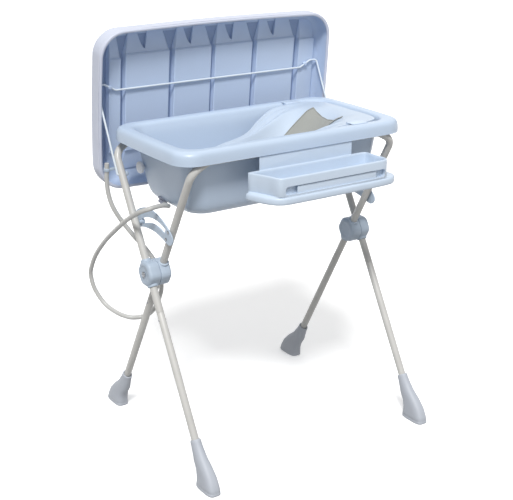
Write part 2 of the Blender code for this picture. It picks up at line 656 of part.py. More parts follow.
# Drain hose: from the fitting, over the frame, down in a loop and up to a clip on the outer tube
HOSE_ROUTE = [
    HOSE_END + Vector((-0.0001, -0.0008, 0)), HOSE_END + Vector((-0.0013, -0.0104, 0)),
    (-0.3300, -0.0110, 0.7790), (-0.3440, -0.0260, 0.7870),
    (-0.3650, -0.0360, 0.7930), (-0.3900, -0.0430, 0.7950), (-0.4120, -0.0420, 0.7920), (-0.4240, -0.0170, 0.7800),
    (-0.4290, 0.0150, 0.7620), (-0.4310, 0.0730, 0.7280), (-0.4340, 0.1450, 0.6760), (-0.4365, 0.2110, 0.6250),
    (-0.4385, 0.2780, 0.5600), (-0.4400, 0.3130, 0.5070), (-0.4380, 0.3250, 0.4750), (-0.4300, 0.3170, 0.4280),
    (-0.4100, 0.2870, 0.3810), (-0.3900, 0.2370, 0.3620), (-0.3650, 0.1990, 0.3550), (-0.3300, 0.1860, 0.3540),
    (-0.3200, 0.1570, 0.3710), (-0.3150, 0.1180, 0.4090), (-0.3100, 0.0950, 0.4560), (-0.3100, 0.0850, 0.4850),
    (-0.3140, 0.0800, 0.5300), (-0.3270, 0.0880, 0.5700), (-0.3360, 0.1130, 0.5970), (-0.3500, 0.1290, 0.6220),
    (-0.3700, 0.1380, 0.6480), (-0.3900, 0.1530, 0.6810), (-0.4100, 0.1650, 0.7160), (-0.4250, 0.1740, 0.7520),
    (-0.4330, 0.1800, 0.7930), (-0.4360, 0.1790, 0.8350), (-0.4360, 0.1761, 0.8540), (-0.4360, 0.1749, 0.8640),
    (-0.4360, 0.1725, 0.8840),
]


def smooth_route(points, steps):
    points = [Vector(p) for p in points]
    path = []
    for i in range(len(points) - 1):
        p1, p2 = points[i], points[i + 1]
        p0, p3 = points[max(i - 1, 0)], points[min(i + 2, len(points) - 1)]
        for k in range(steps):
            t = k / steps
            a = 2 * p1 + (p2 - p0) * t + (2 * p0 - 5 * p1 + 4 * p2 - p3) * t * t
            path.append((a + (3 * p1 - p0 - 3 * p2 + p3) * t**3) / 2)
    path.append(points[-1])
    return path


make("drain_hose", pipe(smooth_route(HOSE_ROUTE, 2), HOSE_R, 2), (0.55, 0.55, 0.53), 0.4)


def build_hose_clip():
    middle = Vector((-0.4360, 0.1749, 0.8640))
    way = Vector((0.0, -0.12, 1.0)).normalized()
    u, v = across(way)
    rings = [circle(middle + d * way, u, v, 0.0096, 20) for d in (-0.005, 0.005)]
    clip = make("hose_clip", skin(rings), HUB_BLUE, 0.45)
    cut(clip, box((-0.4285, 0.1700, 0.8600), (-0.3930, 0.1780, 0.8680)), "UNION")
    cut(clip, rod(middle - 0.02 * way, middle + 0.02 * way, HOSE_R + GAP, 20))
    cut(clip, rod((-OUTER_X, outer_y(0.80), 0.80), (-OUTER_X, outer_y(0.88), 0.88), TUBE_R + GAP, 32))


build_hose_clip()
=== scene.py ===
"""Looks of the folding baby bath stand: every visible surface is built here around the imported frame."""

import math

import bmesh
import bpy
from mathutils import Matrix, Vector, noise


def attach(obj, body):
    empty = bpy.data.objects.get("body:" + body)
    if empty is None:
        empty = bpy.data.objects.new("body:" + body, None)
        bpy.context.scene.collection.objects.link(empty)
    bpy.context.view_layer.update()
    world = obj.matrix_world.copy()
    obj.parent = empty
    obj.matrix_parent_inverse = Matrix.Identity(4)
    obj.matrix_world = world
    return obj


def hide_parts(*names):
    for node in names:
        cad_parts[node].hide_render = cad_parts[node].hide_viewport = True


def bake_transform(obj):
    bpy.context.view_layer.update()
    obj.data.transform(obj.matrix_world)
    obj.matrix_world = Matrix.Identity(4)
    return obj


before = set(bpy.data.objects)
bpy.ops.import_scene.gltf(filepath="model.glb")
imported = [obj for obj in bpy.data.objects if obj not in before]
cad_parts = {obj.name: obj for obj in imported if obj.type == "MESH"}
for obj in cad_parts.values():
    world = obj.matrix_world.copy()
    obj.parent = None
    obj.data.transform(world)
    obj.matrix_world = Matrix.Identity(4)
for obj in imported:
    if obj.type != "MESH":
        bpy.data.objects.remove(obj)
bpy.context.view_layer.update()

# Driving dimensions, in metres, as in the CAD
TUBE_R = 0.0115
OUTER_X, INNER_X = 0.398, 0.36
HUB = (-0.0055, 0.5787)
OUTER_SLOPE, INNER_SLOPE = 0.571, -0.566
REAR_BAR, FRONT_BAR = (0.2002, 0.939), (-0.203, 0.955)
SNAP_Z = 0.452
RIM_A, RIM_B, RIM_BOW = 0.405, 0.2216, 0.0065
WALL, SEAT_WALL = 0.003, 0.0032
LID_A, LID_B = 0.4208, 0.248
LID_MID = Vector((0.0, 0.22835, 1.01935))
LID_V = Vector((0.0, -0.104, 0.99458))
LID_W = Vector((0.0, 0.99458, 0.104))
PIVOT = (0.15, 0.85)
WIRE_R, WIRE_X, WIRE_DEPTH = 0.003, 0.413, 0.0505
BEND_OUT, BEND_IN, BAIL_HIGH, BAIL_LOW = 0.386, 0.347, 0.077, 0.0555
HOSE_R = 0.007
SADDLE_X = 0.22
FIT = 0.0003  # between a clip or saddle and its tube
BEAD_LIFT = 0.0042  # the liner's sewn edge, above the seat
WHITE = (1.0, 1.0, 1.0, 1.0)
SIDES = (("left", -1), ("right", 1))


# Materials
class Shader:
    """A Principled material whose colour, roughness and bump come from procedural nodes."""

    def __init__(self, name, roughness, metallic=0.0, specular=0.5):
        self.material = bpy.data.materials.new(name)
        self.material.use_nodes = True
        self.tree = self.material.node_tree
        self.bsdf = self.tree.nodes["Principled BSDF"]
        self.set("Roughness", roughness)
        self.set("Metallic", metallic)
        self.set("Specular IOR Level", specular)
        self.coords = self.tree.nodes.new("ShaderNodeTexCoord").outputs["Object"]

    def set(self, name, value):
        self.bsdf.inputs[name].default_value = value

    def node(self, kind, **values):
        made = self.tree.nodes.new("ShaderNode" + kind)
        for key, value in values.items():
            if hasattr(made, key):
                setattr(made, key, value)
            else:
                made.inputs[key.replace("_", " ")].default_value = value
        return made

    def link(self, a, b):
        self.tree.links.new(a, b)

    def noise(self, scale, detail=3.0, stretch=(1, 1, 1)):
        mapping = self.node("Mapping", Scale=stretch)
        self.link(self.coords, mapping.inputs["Vector"])
        made = self.node("TexNoise", Scale=scale, Detail=detail)
        self.link(mapping.outputs["Vector"], made.inputs["Vector"])
        return made.outputs["Fac"]

    def ramp(self, fac, stops):
        made = self.node("ValToRGB")
        elements = made.color_ramp.elements
        elements[0].position, elements[1].position = stops[0][0], stops[-1][0]
        elements[0].color, elements[1].color = (*stops[0][1], 1), (*stops[-1][1], 1)
        for position, colour in stops[1:-1]:
            elements.new(position).color = (*colour, 1)
        self.link(fac, made.inputs["Fac"])
        return made.outputs["Color"]

    def tones(self, fac, colour, low, high, ends=(0.3, 0.7)):
        """Two shades of a colour, as parts of it."""
        return self.ramp(fac, [(ends[0], tint(colour, low)), (ends[1], tint(colour, high))])

    def mix(self, fac, a, b):
        made = self.tree.nodes.new("ShaderNodeMix")
        made.data_type = "RGBA"
        self.link(fac, made.inputs[0])
        for socket, value in ((made.inputs[6], a), (made.inputs[7], b)):
            if isinstance(value, tuple):
                socket.default_value = (*value, 1)
            else:
                self.link(value, socket)
        return made.outputs[2]

    def remap(self, fac, **limits):
        made = self.node("MapRange", **limits)
        self.link(fac, made.inputs["Value"])
        return made.outputs["Result"]

    def roughness(self, fac, low, high):
        self.link(self.remap(fac, To_Min=low, To_Max=high), self.bsdf.inputs["Roughness"])

    def bump(self, height, strength, distance):
        made = self.node("Bump", Strength=strength, Distance=distance)
        previous = self.bsdf.inputs["Normal"].links
        if previous:
            self.link(previous[0].from_socket, made.inputs["Normal"])
        self.link(height, made.inputs["Height"])
        self.link(made.outputs["Normal"], self.bsdf.inputs["Normal"])

    def colour(self, socket):
        self.link(socket, self.bsdf.inputs["Base Color"])


def tint(colour, factor):
    return tuple(min(1.0, c * factor) for c in colour)


def edge_wear_and_highlight(shader, low, high):
    """A mask of the sharp edges, from how much the surface turns there."""
    pointiness = shader.node("NewGeometry").outputs["Pointiness"]
    return shader.remap(pointiness, From_Min=low, From_Max=high)


def moulded(name, colour, roughness=0.36, grain=260.0):
    """Injection-moulded plastic: faint flow marks, fine grain and a painted highlight that lightens the
    sharp edges.
    """
    shader = Shader(name, roughness)
    flow = shader.noise(5.0, 4.0, (1, 1, 2.2))
    base = shader.ramp(flow, [(0.25, tint(colour, 0.955)), (0.55, colour), (0.8, tint(colour, 1.035))])
    speck = shader.noise(900.0, 1.0)
    speckle = shader.ramp(speck, [(0.3, (0.0, 0.0, 0.0)), (0.72, (1.0, 1.0, 1.0))])
    base = shader.mix(speckle, base, tint(colour, 1.02))
    # Sharp edges are painted lighter: a painted highlight, not a colour of the plastic.
    shader.colour(shader.mix(edge_wear_and_highlight(shader, 0.52, 0.62), base, tint(colour, 1.12)))
    smear = shader.noise(38.0, 5.0, (1, 1, 0.4))
    shader.roughness(smear, roughness - 0.05, roughness + 0.09)
    shader.bump(shader.noise(grain, 3.0), 0.1, 0.0004)
    shader.bump(shader.noise(9.0, 2.0), 0.1, 0.003)
    return shader.material


def painted_steel(name, colour):
    """Powder-coated tube: orange-peel skin, tiny darker pits and rubbed edges."""
    shader = Shader(name, 0.36)
    patches = shader.tones(shader.noise(14.0, 4.0), colour, 0.95, 1.03)
    pits = shader.ramp(shader.noise(700.0, 2.0), [(0.18, (1, 1, 1)), (0.26, (0, 0, 0))])
    base = shader.mix(pits, patches, tint(colour, 0.72))
    shader.colour(shader.mix(edge_wear_and_highlight(shader, 0.55, 0.66), base, tint(colour, 0.8)))
    shader.roughness(shader.noise(60.0, 4.0), 0.28, 0.44)
    shader.bump(shader.noise(420.0, 2.0), 0.14, 0.0004)
    return shader.material


def vinyl(name, colour):
    """Padded vinyl: leather grain over broad soft creases."""
    shader = Shader(name, 0.52)
    mottle = shader.tones(shader.noise(6.0, 5.0), colour, 0.955, 1.02, (0.3, 0.72))
    cells = shader.node("TexVoronoi", Scale=520.0, feature="DISTANCE_TO_EDGE")
    shader.link(shader.coords, cells.inputs["Vector"])
    crease = shader.ramp(cells.outputs["Distance"], [(0.0, tint(colour, 0.9)), (0.08, colour)])
    shader.colour(shader.mix(shader.noise(80.0, 2.0), mottle, crease))
    shader.roughness(shader.noise(45.0, 4.0), 0.42, 0.62)
    shader.bump(cells.outputs["Distance"], 0.22, 0.0006)
    shader.bump(shader.noise(16.0, 3.0), 0.22, 0.004)
    shader.set("Sheen Weight", 0.08)
    return shader.material


def woven(name, colour, pitch=0.0016):
    """Soft knitted cloth over foam."""
    shader = Shader(name, 0.92, specular=0.25)
    heights = []
    for axis in ("X", "Y"):
        wave = shader.node("TexWave", Scale=0.5 / pitch, Distortion=0.6, bands_direction=axis)
        shader.link(shader.coords, wave.inputs["Vector"])
        heights.append(wave.outputs["Fac"])
    weave = shader.node("Math", operation="MULTIPLY")
    shader.link(heights[0], weave.inputs[0])
    shader.link(heights[1], weave.inputs[1])
    threads = shader.tones(weave.outputs["Value"], colour, 0.8, 1.08, (0.0, 0.7))
    soil = shader.tones(shader.noise(22.0, 4.0), colour, 0.93, 1.04)
    shader.colour(shader.mix(shader.noise(300.0, 1.0), threads, soil))
    shader.bump(weave.outputs["Value"], 0.4, 0.0006)
    shader.set("Sheen Weight", 0.25)
    return shader.material


def hose_rubber(name, colour):
    """Milky flexible hose with a slight gloss and dust in patches."""
    shader = Shader(name, 0.34)
    shader.colour(shader.tones(shader.noise(18.0, 4.0), colour, 0.92, 1.05))
    shader.roughness(shader.noise(90.0, 3.0), 0.26, 0.46)
    shader.bump(shader.noise(240.0, 2.0), 0.12, 0.0004)
    return shader.material


def plated(name, colour):
    """Dull zinc-plated steel with fine brush marks."""
    shader = Shader(name, 0.34, metallic=0.85)
    shader.colour(shader.tones(shader.noise(120.0, 4.0), colour, 0.85, 1.1))
    shader.roughness(shader.noise(260.0, 3.0, (8, 1, 1)), 0.24, 0.46)
    shader.bump(shader.noise(600.0, 2.0, (6, 1, 1)), 0.1, 0.0002)
    return shader.material


BLUE = (0.525, 0.63, 0.775)
MATERIALS = {
    "tub": moulded("tub_blue_plastic", BLUE, 0.34),
    "tray": moulded("tray_blue_plastic", (0.575, 0.67, 0.792), 0.34),
    "top": moulded("top_blue_plastic", (0.535, 0.638, 0.815), 0.4),
    # Darker blue for the floor behind the lid's blocks: painted shade for the shadow in the deep gutters.
    "recess": moulded("recess_painted_shade_plastic", (0.29, 0.375, 0.55), 0.5),
    "insert": moulded("insert_pale_plastic", (0.53, 0.622, 0.745), 0.36),
    "hub": moulded("hub_grey_blue_plastic", (0.43, 0.51, 0.61), 0.46),
    "quadrant": moulded("quadrant_blue_plastic", (0.47, 0.56, 0.67), 0.42),
    "foot": moulded("foot_grey_plastic", (0.455, 0.485, 0.54), 0.52, 420.0),
    "white": moulded("white_plastic", (0.82, 0.85, 0.9), 0.3),
    "fitting": moulded("grey_fitting_plastic", (0.3, 0.32, 0.4), 0.5),
    "tube": painted_steel("frame_paint", (0.575, 0.57, 0.55)),
    "wire": painted_steel("wire_coating", (0.72, 0.79, 0.85)),
    "cover": vinyl("top_white_vinyl", (0.63, 0.67, 0.79)),
    "piping": vinyl("top_piping_vinyl", (0.66, 0.69, 0.79)),
    "liner": woven("liner_grey_cloth", (0.365, 0.375, 0.355)),
    "hose": hose_rubber("hose_rubber", (0.53, 0.53, 0.515)),
    "steel": plated("plated_steel", (0.3, 0.31, 0.33)),
}


# Mesh helpers
def add(name, data):
    obj = bpy.data.objects.new(name, data)
    bpy.context.scene.collection.objects.link(obj)
    return obj


def shade(obj, sharp):
    obj.data.shade_smooth()
    obj.data.set_sharp_from_angle(angle=math.radians(sharp))


def build(name, bm, material, body, node=None, sharp=32.0):
    """Turns a bmesh into a piece that rides on a body and may stand for a CAD node."""
    bmesh.ops.remove_doubles(bm, verts=bm.verts, dist=1e-6)
    bmesh.ops.recalc_face_normals(bm, faces=bm.faces)
    mesh = bpy.data.meshes.new(name)
    bm.to_mesh(mesh)
    bm.free()
    obj = add(name, mesh)
    shade(obj, sharp)
    obj.data.materials.append(MATERIALS[material])
    if body:
        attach(obj, body)
    if node:
        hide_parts(node)
    return obj


def look(node, bm, material, body, sharp=32.0):
    """A piece that stands for one CAD node."""
    return build(node + "_look", bm, material, body, node, sharp)


def apply_modifiers(obj):
    """Keeps the shape that the modifiers make, with no modifier left."""
    bpy.context.view_layer.update()
    graph = bpy.context.evaluated_depsgraph_get()
    mesh = bpy.data.meshes.new_from_object(obj.evaluated_get(graph))
    obj.modifiers.clear()
    obj.data = mesh


def loft(rings, close=False):
    """Joins rings of equal length; the ends are capped, or joined to each other."""
    bm = bmesh.new()
    loops = [[bm.verts.new(p) for p in ring] for ring in rings]
    pairs = list(zip(loops, loops[1:]))
    if close:
        pairs.append((loops[-1], loops[0]))
    for low, high in pairs:
        for i in range(len(low)):
            j = (i + 1) % len(low)
            bm.faces.new((low[i], low[j], high[j], high[i]))
    if not close:
        bm.faces.new(loops[0][::-1])
        bm.faces.new(loops[-1])
    return bm


def across(direction):
    direction = Vector(direction).normalized()
    side = Vector((1, 0, 0)) if abs(direction.x) < 0.9 else Vector((0, 1, 0))
    u = direction.cross(side).normalized()
    return u, direction.cross(u)


def circle(centre, u, v, radius, count):
    turns = [2 * math.pi * i / count for i in range(count)]
    return [Vector(centre) + radius * (math.cos(t) * u + math.sin(t) * v) for t in turns]


def lathe(start, direction, profile, count=40):
    direction = Vector(direction).normalized()
    u, v = across(direction)
    return loft([circle(Vector(start) + d * direction, u, v, max(r, 1e-5), count) for d, r in profile])


def rounded_rod(start, end, radius, edge=0.0015, count=32):
    start, end = Vector(start), Vector(end)
    length = (end - start).length
    steps = [(edge * (1 - math.cos(t)), radius - edge * (1 - math.sin(t))) for t in (0, 0.5, 1.0, 1.5708)]
    return lathe(start, end - start, steps + [(length - d, r) for d, r in reversed(steps)], count)


def fillet(corners, radii, steps=10):
    corners = [Vector(c) for c in corners]
    if isinstance(radii, float):
        radii = [radii] * (len(corners) - 2)
    path = [corners[0]]
    for before, here, after, radius in zip(corners, corners[1:], corners[2:], radii):
        a, b = (before - here).normalized(), (after - here).normalized()
        half = a.angle(b) / 2
        reach = radius / math.tan(half)
        centre = here + (a + b).normalized() * radius / math.sin(half)
        p, q = here + a * reach - centre, here + b * reach - centre
        turn = p.angle(q)
        for i in range(steps + 1):
            s = i / steps
            path.append(centre + (p * math.sin((1 - s) * turn) + q * math.sin(s * turn)) / math.sin(turn))
    path.append(corners[-1])
    return path


def tube(path, radius, count=28):
    """A round tube along a path, its rings turned with the path so that it never twists."""
    path = [Vector(p) for p in path]
    tangents = []
    for i in range(len(path)):
        before, after = path[max(i - 1, 0)], path[min(i + 1, len(path) - 1)]
        tangents.append((after - before).normalized())
    u, v = across(tangents[0])
    rings = []
    for i, (place, tangent) in enumerate(zip(path, tangents)):
        if i:
            turn = tangents[i - 1].rotation_difference(tangent)
            u = turn @ u
        v = tangent.cross(u).normalized()
        u = v.cross(tangent).normalized()
        rings.append(circle(place, u, v, radius, count))
    return loft(rings)


def bead(path, radius, count, up=None):
    """A closed round bead along a closed path."""
    rings = []
    for i, here in enumerate(path):
        along = (path[(i + 1) % len(path)] - path[i - 1]).normalized()
        u, v = across(along) if up is None else (along.cross(up).normalized(), up)
        rings.append(circle(here, u, v, radius, count))
    return loft(rings, close=True)


def spline(points, steps):
    """A smooth curve through points of any number of values."""
    out = []
    for i in range(len(points) - 1):
        p1, p2 = points[i], points[i + 1]
        p0, p3 = points[max(i - 1, 0)], points[min(i + 2, len(points) - 1)]
        for k in range(steps):
            t = k / steps
            row = []
            for a, b, c, d in zip(p0, p1, p2, p3):
                low = 2 * b + (c - a) * t + (2 * a - 5 * b + 4 * c - d) * t * t
                row.append((low + (3 * b - a - 3 * c + d) * t**3) / 2)
            out.append(tuple(row))
    out.append(points[-1])
    return out


def block(low, high, edge=0.002, segments=3):
    bm = bmesh.new()
    size = [h - l for l, h in zip(low, high)]
    middle = [(h + l) / 2 for l, h in zip(low, high)]
    bmesh.ops.create_cube(bm, size=1.0, matrix=Matrix.Translation(middle) @ Matrix.Diagonal((*size, 1)))
    if edge:
        bmesh.ops.bevel(bm, geom=bm.edges, offset=edge, segments=segments, affect="EDGES", profile=0.5)
    return bm


def prism(outline, x0, x1, edge=0.0):
    bm = bmesh.new()
    near = [bm.verts.new((x0, y, z)) for y, z in outline]
    far = [bm.verts.new((x1, y, z)) for y, z in outline]
    faces = [bm.faces.new(near), bm.faces.new(far[::-1])]
    for i in range(len(near)):
        j = (i + 1) % len(near)
        bm.faces.new((near[i], far[i], far[j], near[j]))
    if edge:
        rims = {e for face in faces for e in face.edges}
        bmesh.ops.bevel(bm, geom=list(rims), offset=edge, segments=2, affect="EDGES", profile=0.5)
    return bm


def mesh_of(bm):
    bmesh.ops.recalc_face_normals(bm, faces=bm.faces)
    mesh = bpy.data.meshes.new("tool")
    bm.to_mesh(mesh)
    bm.free()
    return mesh


def carve(obj, *cutters, operation="DIFFERENCE", sharp=32.0):
    """Cuts shapes out of a piece, or joins them to it, and keeps the result."""
    tools = []
    for bm in cutters:
        tool = add("tool", mesh_of(bm))
        tool.hide_render = True
        modifier = obj.modifiers.new("Boolean", "BOOLEAN")
        modifier.operation = operation
        modifier.solver = "EXACT"
        modifier.object = tool
        tools.append(tool)
    apply_modifiers(obj)
    for tool in tools:
        bpy.data.objects.remove(tool)
    shade(obj, sharp)


# Camera, light and floor
LENS, CAMERA_AT, AIM = 78.75, (-1.8639, -2.8045, 1.7755), (-0.0097, 0.0, 0.5744)
SKY = (0.34, 0.52)
KEY_POWER, KEY_SPREAD = 2.75, 14.0
KEY_FROM, FILL_FROM = (-0.36, -0.5, 0.8), (0.45, 0.8, 0.4)
FILL_POWER, FILL_SPREAD = 0.55, 60.0


def set_stage():
    camera = add("camera", bpy.data.cameras.new("camera"))
    camera.data.lens = LENS
    camera.data.sensor_width = 36.0
    camera.data.clip_end = 200
    camera.location = CAMERA_AT
    camera.rotation_euler = (Vector(AIM) - camera.location).to_track_quat("-Z", "Y").to_euler()
    bpy.context.scene.camera = camera

    world = bpy.data.worlds.new("studio")
    world.use_nodes = True
    nodes, links = world.node_tree.nodes, world.node_tree.links
    way = nodes.new("ShaderNodeTexCoord")
    split = nodes.new("ShaderNodeSeparateXYZ")
    fade = nodes.new("ShaderNodeMapRange")
    for key, value in (("From Min", -0.5), ("From Max", 0.8), ("To Min", SKY[0]), ("To Max", SKY[1])):
        fade.inputs[key].default_value = value
    links.new(way.outputs["Generated"], split.inputs["Vector"])
    links.new(split.outputs["Z"], fade.inputs["Value"])
    links.new(fade.outputs["Result"], nodes["Background"].inputs["Strength"])
    kinds = ("Background", "MixShader", "LightPath")
    plain, join, ray = (nodes.new("ShaderNode" + kind) for kind in kinds)
    for shader in (nodes["Background"], plain):
        shader.inputs["Color"].default_value = WHITE
    links.new(ray.outputs["Is Camera Ray"], join.inputs["Fac"])
    links.new(nodes["Background"].outputs["Background"], join.inputs[1])
    links.new(plain.outputs["Background"], join.inputs[2])
    links.new(join.outputs["Shader"], nodes["World Output"].inputs["Surface"])
    bpy.context.scene.world = world
    bpy.context.scene.view_settings.view_transform = "Standard"

    rows = (("key", KEY_FROM, KEY_POWER, KEY_SPREAD), ("fill", FILL_FROM, FILL_POWER, FILL_SPREAD))
    for name, place, power, spread in rows:
        lamp = add(name, bpy.data.lights.new(name, "SUN"))
        lamp.data.energy, lamp.data.angle = power, math.radians(spread)
        lamp.data.color = (1.0, 0.995, 0.985)
        lamp.rotation_euler = (-Vector(place)).to_track_quat("-Z", "Y").to_euler()

    bm = bmesh.new()
    bmesh.ops.create_circle(bm, cap_ends=True, radius=80.0, segments=96)
    mesh = mesh_of(bm)
    floor = add("floor", mesh)
    floor.location = (0, 0, -0.0005)
    shader = Shader("pale_floor", 0.85)
    pale = [(0.3, (0.93, 0.935, 0.94)), (0.7, (0.96, 0.96, 0.96))]
    shader.colour(shader.ramp(shader.noise(1.2, 3.0), pale))
    mesh.materials.append(shader.material)
    shader.set("Emission Color", WHITE)
    shader.set("Emission Strength", 0.3)
    floor.visible_diffuse = False


set_stage()


# Frame: tubes, legs, snap pins, feet
KNEE_DROP, KNEE_IN, KNEE_R = 0.028, 0.055, 0.045
LEG_FOOT_Z, SHOE_BEND_Z, SOLE_Y = 0.056, 0.085, 0.33


def leg_y(slope, z):
    return HUB[0] + slope * (z - HUB[1])


def frame_path(x, slope, bar):
    """Half of a frame's tube: up the leg, round the knee and along the rail to the middle."""
    low_z, knee_z = SNAP_Z + 0.021, bar[1] - KNEE_DROP
    low, knee = (Vector((x, leg_y(slope, z), z)) for z in (low_z, knee_z))
    top = Vector((math.copysign(abs(x) - KNEE_IN, x), *bar))
    return fillet([low, knee, top, Vector((0, *bar))], KNEE_R, 14)[:-1]


def build_frame():
    rows = (
        ("outer_frame", OUTER_X, OUTER_SLOPE, REAR_BAR, "front"),
        ("inner_frame", INNER_X, INNER_SLOPE, FRONT_BAR, "rear"),
    )
    for body, x, slope, bar, end in rows:
        path = frame_path(-x, slope, bar) + frame_path(x, slope, bar)[::-1]
        look(body + "_tube", tube(path, TUBE_R, 32), "tube", body, 50)
        for side, s in SIDES:
            build_leg(body, end, side, s * x, slope)


def build_leg(body, end, side, x, slope):
    start, stop = ((x, leg_y(slope, z), z) for z in (LEG_FOOT_Z, SNAP_Z + 0.0207))
    leg = rounded_rod(start, stop, TUBE_R, 0.0012)
    look(f"{end}_leg_{side}", leg, "tube", body, 40)
    reach = TUBE_R + 0.0022
    head = [(0, 0.0006), (0.0006, 0.002), (0.0016, 0.0031), (0.0028, 0.0035)]
    profile = head + [(2 * reach - d, r) for d, r in reversed(head)]
    pin = lathe((x - reach, leg_y(slope, SNAP_Z), SNAP_Z), (1, 0, 0), profile, 24)
    look(f"{end}_snap_pin_{side}", pin, "steel", body, 50)
    build_foot(body, end, side, x, slope)


# Each ring: height, shift outwards, half width, half depth, tilt along the leg, squareness
FOOT_ROWS = [
    (0.0, 0.0, 0.0212, 0.0456, 0.0, 3.6), (0.001, 0.0, 0.022, 0.0464, 0.0, 3.6),
    (0.003, 0.0, 0.0225, 0.0468, 0.0, 3.6), (0.008, 0.0, 0.0224, 0.0464, 0.0, 3.5),
    (0.0094, 0.0, 0.0217, 0.0456, 0.0, 3.4), (0.0108, 0.0, 0.0223, 0.046, 0.0, 3.4),
    (0.02, 0.0005, 0.0219, 0.0444, 0.1, 3.2), (0.04, 0.0014, 0.0209, 0.0383, 0.3, 3.0),
    (0.062, 0.0016, 0.0194, 0.0306, 0.5, 2.7), (0.085, 0.001, 0.0178, 0.0232, 0.8, 2.3),
    (0.11, 0.0, 0.0164, 0.0176, 1.0, 2.0), (0.124, 0.0, 0.0155, 0.0158, 1.0, 2.0),
    (0.13, 0.0, 0.0154, 0.0156, 1.0, 2.0), (0.133, 0.0, 0.0148, 0.015, 1.0, 2.0),
    (0.1342, 0.0, 0.0134, 0.0136, 1.0, 2.0), (0.1335, 0.0, 0.0119, 0.012, 1.0, 2.0),
    (0.12, 0.0, 0.0117, 0.0117, 1.0, 2.0),
]


def build_foot(body, end, side, x, slope):
    """A shoe whose oval rings move from the middle of the sole to the line of the leg."""
    way = -1 if end == "front" else 1
    rings = []
    for z, shift, wide, deep, tilt, power in FOOT_ROWS:
        keep = min(z / SHOE_BEND_Z, 1.0)
        centre = (1 - keep) * way * SOLE_Y + keep * leg_y(slope, z) + way * shift
        ring = []
        for i in range(56):
            t = 2 * math.pi * i / 56
            c, q = math.cos(t), math.sin(t)
            dx = wide * math.copysign(abs(c) ** (2 / power), c)
            dy = deep * math.copysign(abs(q) ** (2 / power), q)
            ring.append(Vector((x + dx, centre + dy, max(0.0, z - tilt * slope * dy))))
        rings.append(ring)
    foot = loft(rings)
    look(f"{end}_foot_{side}", foot, "foot", body, 48)


build_frame()


# Hubs
DRUM_R, DRUM_THICK, DRUM_EDGE, INNER_HUB_X = 0.041, 0.037, 0.009, 0.3597
SLEEVE_R, SLEEVE_REACH, BOLT_X = 0.0165, 0.0375, 0.4168


def hub_shape(x, outward):
    """A softly six-sided drum with a domed outer face."""
    radius, thick, turn = DRUM_R, DRUM_THICK, DRUM_EDGE
    profile = [
        (0, radius - 0.0015), (0.0006, radius - 0.0004), (0.0016, radius), (thick - turn, radius),
    ]
    for k in range(1, 7):
        t = k / 6 * math.pi / 2
        profile.append((thick - turn * (1 - math.sin(t)), radius - turn * 1.2 * (1 - math.cos(t))))
    dish = ((0.0001, 0.62), (0.0006, 0.6), (0.0006, 0.3))
    profile += [(thick - depth, radius * part) for depth, part in dish]
    drum = lathe((x - outward * thick / 2, *HUB), (outward, 0, 0), profile, 72)
    for v in drum.verts:
        dy, dz = v.co.y - HUB[0], v.co.z - HUB[1]
        facet = 1 - 0.032 * (1 - math.cos(6 * math.atan2(dz, dy)))
        v.co.y, v.co.z = HUB[0] + dy * facet, HUB[1] + dz * facet
    return drum


def build_hub(side, s):
    rows = (
        ("outer", OUTER_X, OUTER_SLOPE, s, "outer_frame"),
        ("inner", INNER_HUB_X, INNER_SLOPE, -s, "inner_frame"),
    )
    for kind, x, slope, outward, body in rows:
        ends = [(s * x, leg_y(slope, z), z) for z in (HUB[1] - SLEEVE_REACH, HUB[1] + SLEEVE_REACH)]
        drum = hub_shape(s * x, outward)
        hub = look(f"hub_{kind}_{side}", drum, "hub", body)
        carve(hub, rounded_rod(*ends, SLEEVE_R, 0.002, 40), operation="UNION")
    cap = [
        (0, 0.0085), (0.002, 0.0086), (0.0032, 0.0078), (0.0039, 0.006), (0.004, 0.0036),
        (0.003, 0.003),
    ]
    bolt = lathe((s * BOLT_X, *HUB), (s, 0, 0), cap, 32)
    look(f"hub_bolt_{side}", bolt, "steel", "outer_frame", 40)


for side_name, side_sign in SIDES:
    build_hub(side_name, side_sign)


# Fold quadrants
PLATE_IN, PLATE_OUT = INNER_X + 0.0125, INNER_X + 0.0165
RIVET_X, SLOT_PIN_X = 0.3722, 0.3691
SLOT_R, SLOT_PIN_AT = (0.1665, 0.15), (0.1583, 29.73)
RIVETS_R, RIVETS_ANGLE = (0.1415, 0.1705), -29.6


def on_arc(radius, degrees):
    """A point at this distance and angle from the hub, seen from the side."""
    t = math.radians(degrees)
    return (HUB[0] + radius * math.sin(t), HUB[1] + radius * math.cos(t))


OUTER_ARC = [
    (38, 0.197), (30, 0.199), (20, 0.197), (8, 0.1925), (-7, 0.1845), (-20, 0.179), (-30, 0.1765),
    (-37, 0.173), (-40.5, 0.165),
]
INNER_ARC = [
    (-41, 0.15), (-38, 0.138), (-30, 0.131), (-14, 0.1265), (0, 0.1275), (14, 0.1315), (26, 0.139),
    (36, 0.147), (41.5, 0.155), (42.5, 0.17), (41, 0.187),
]


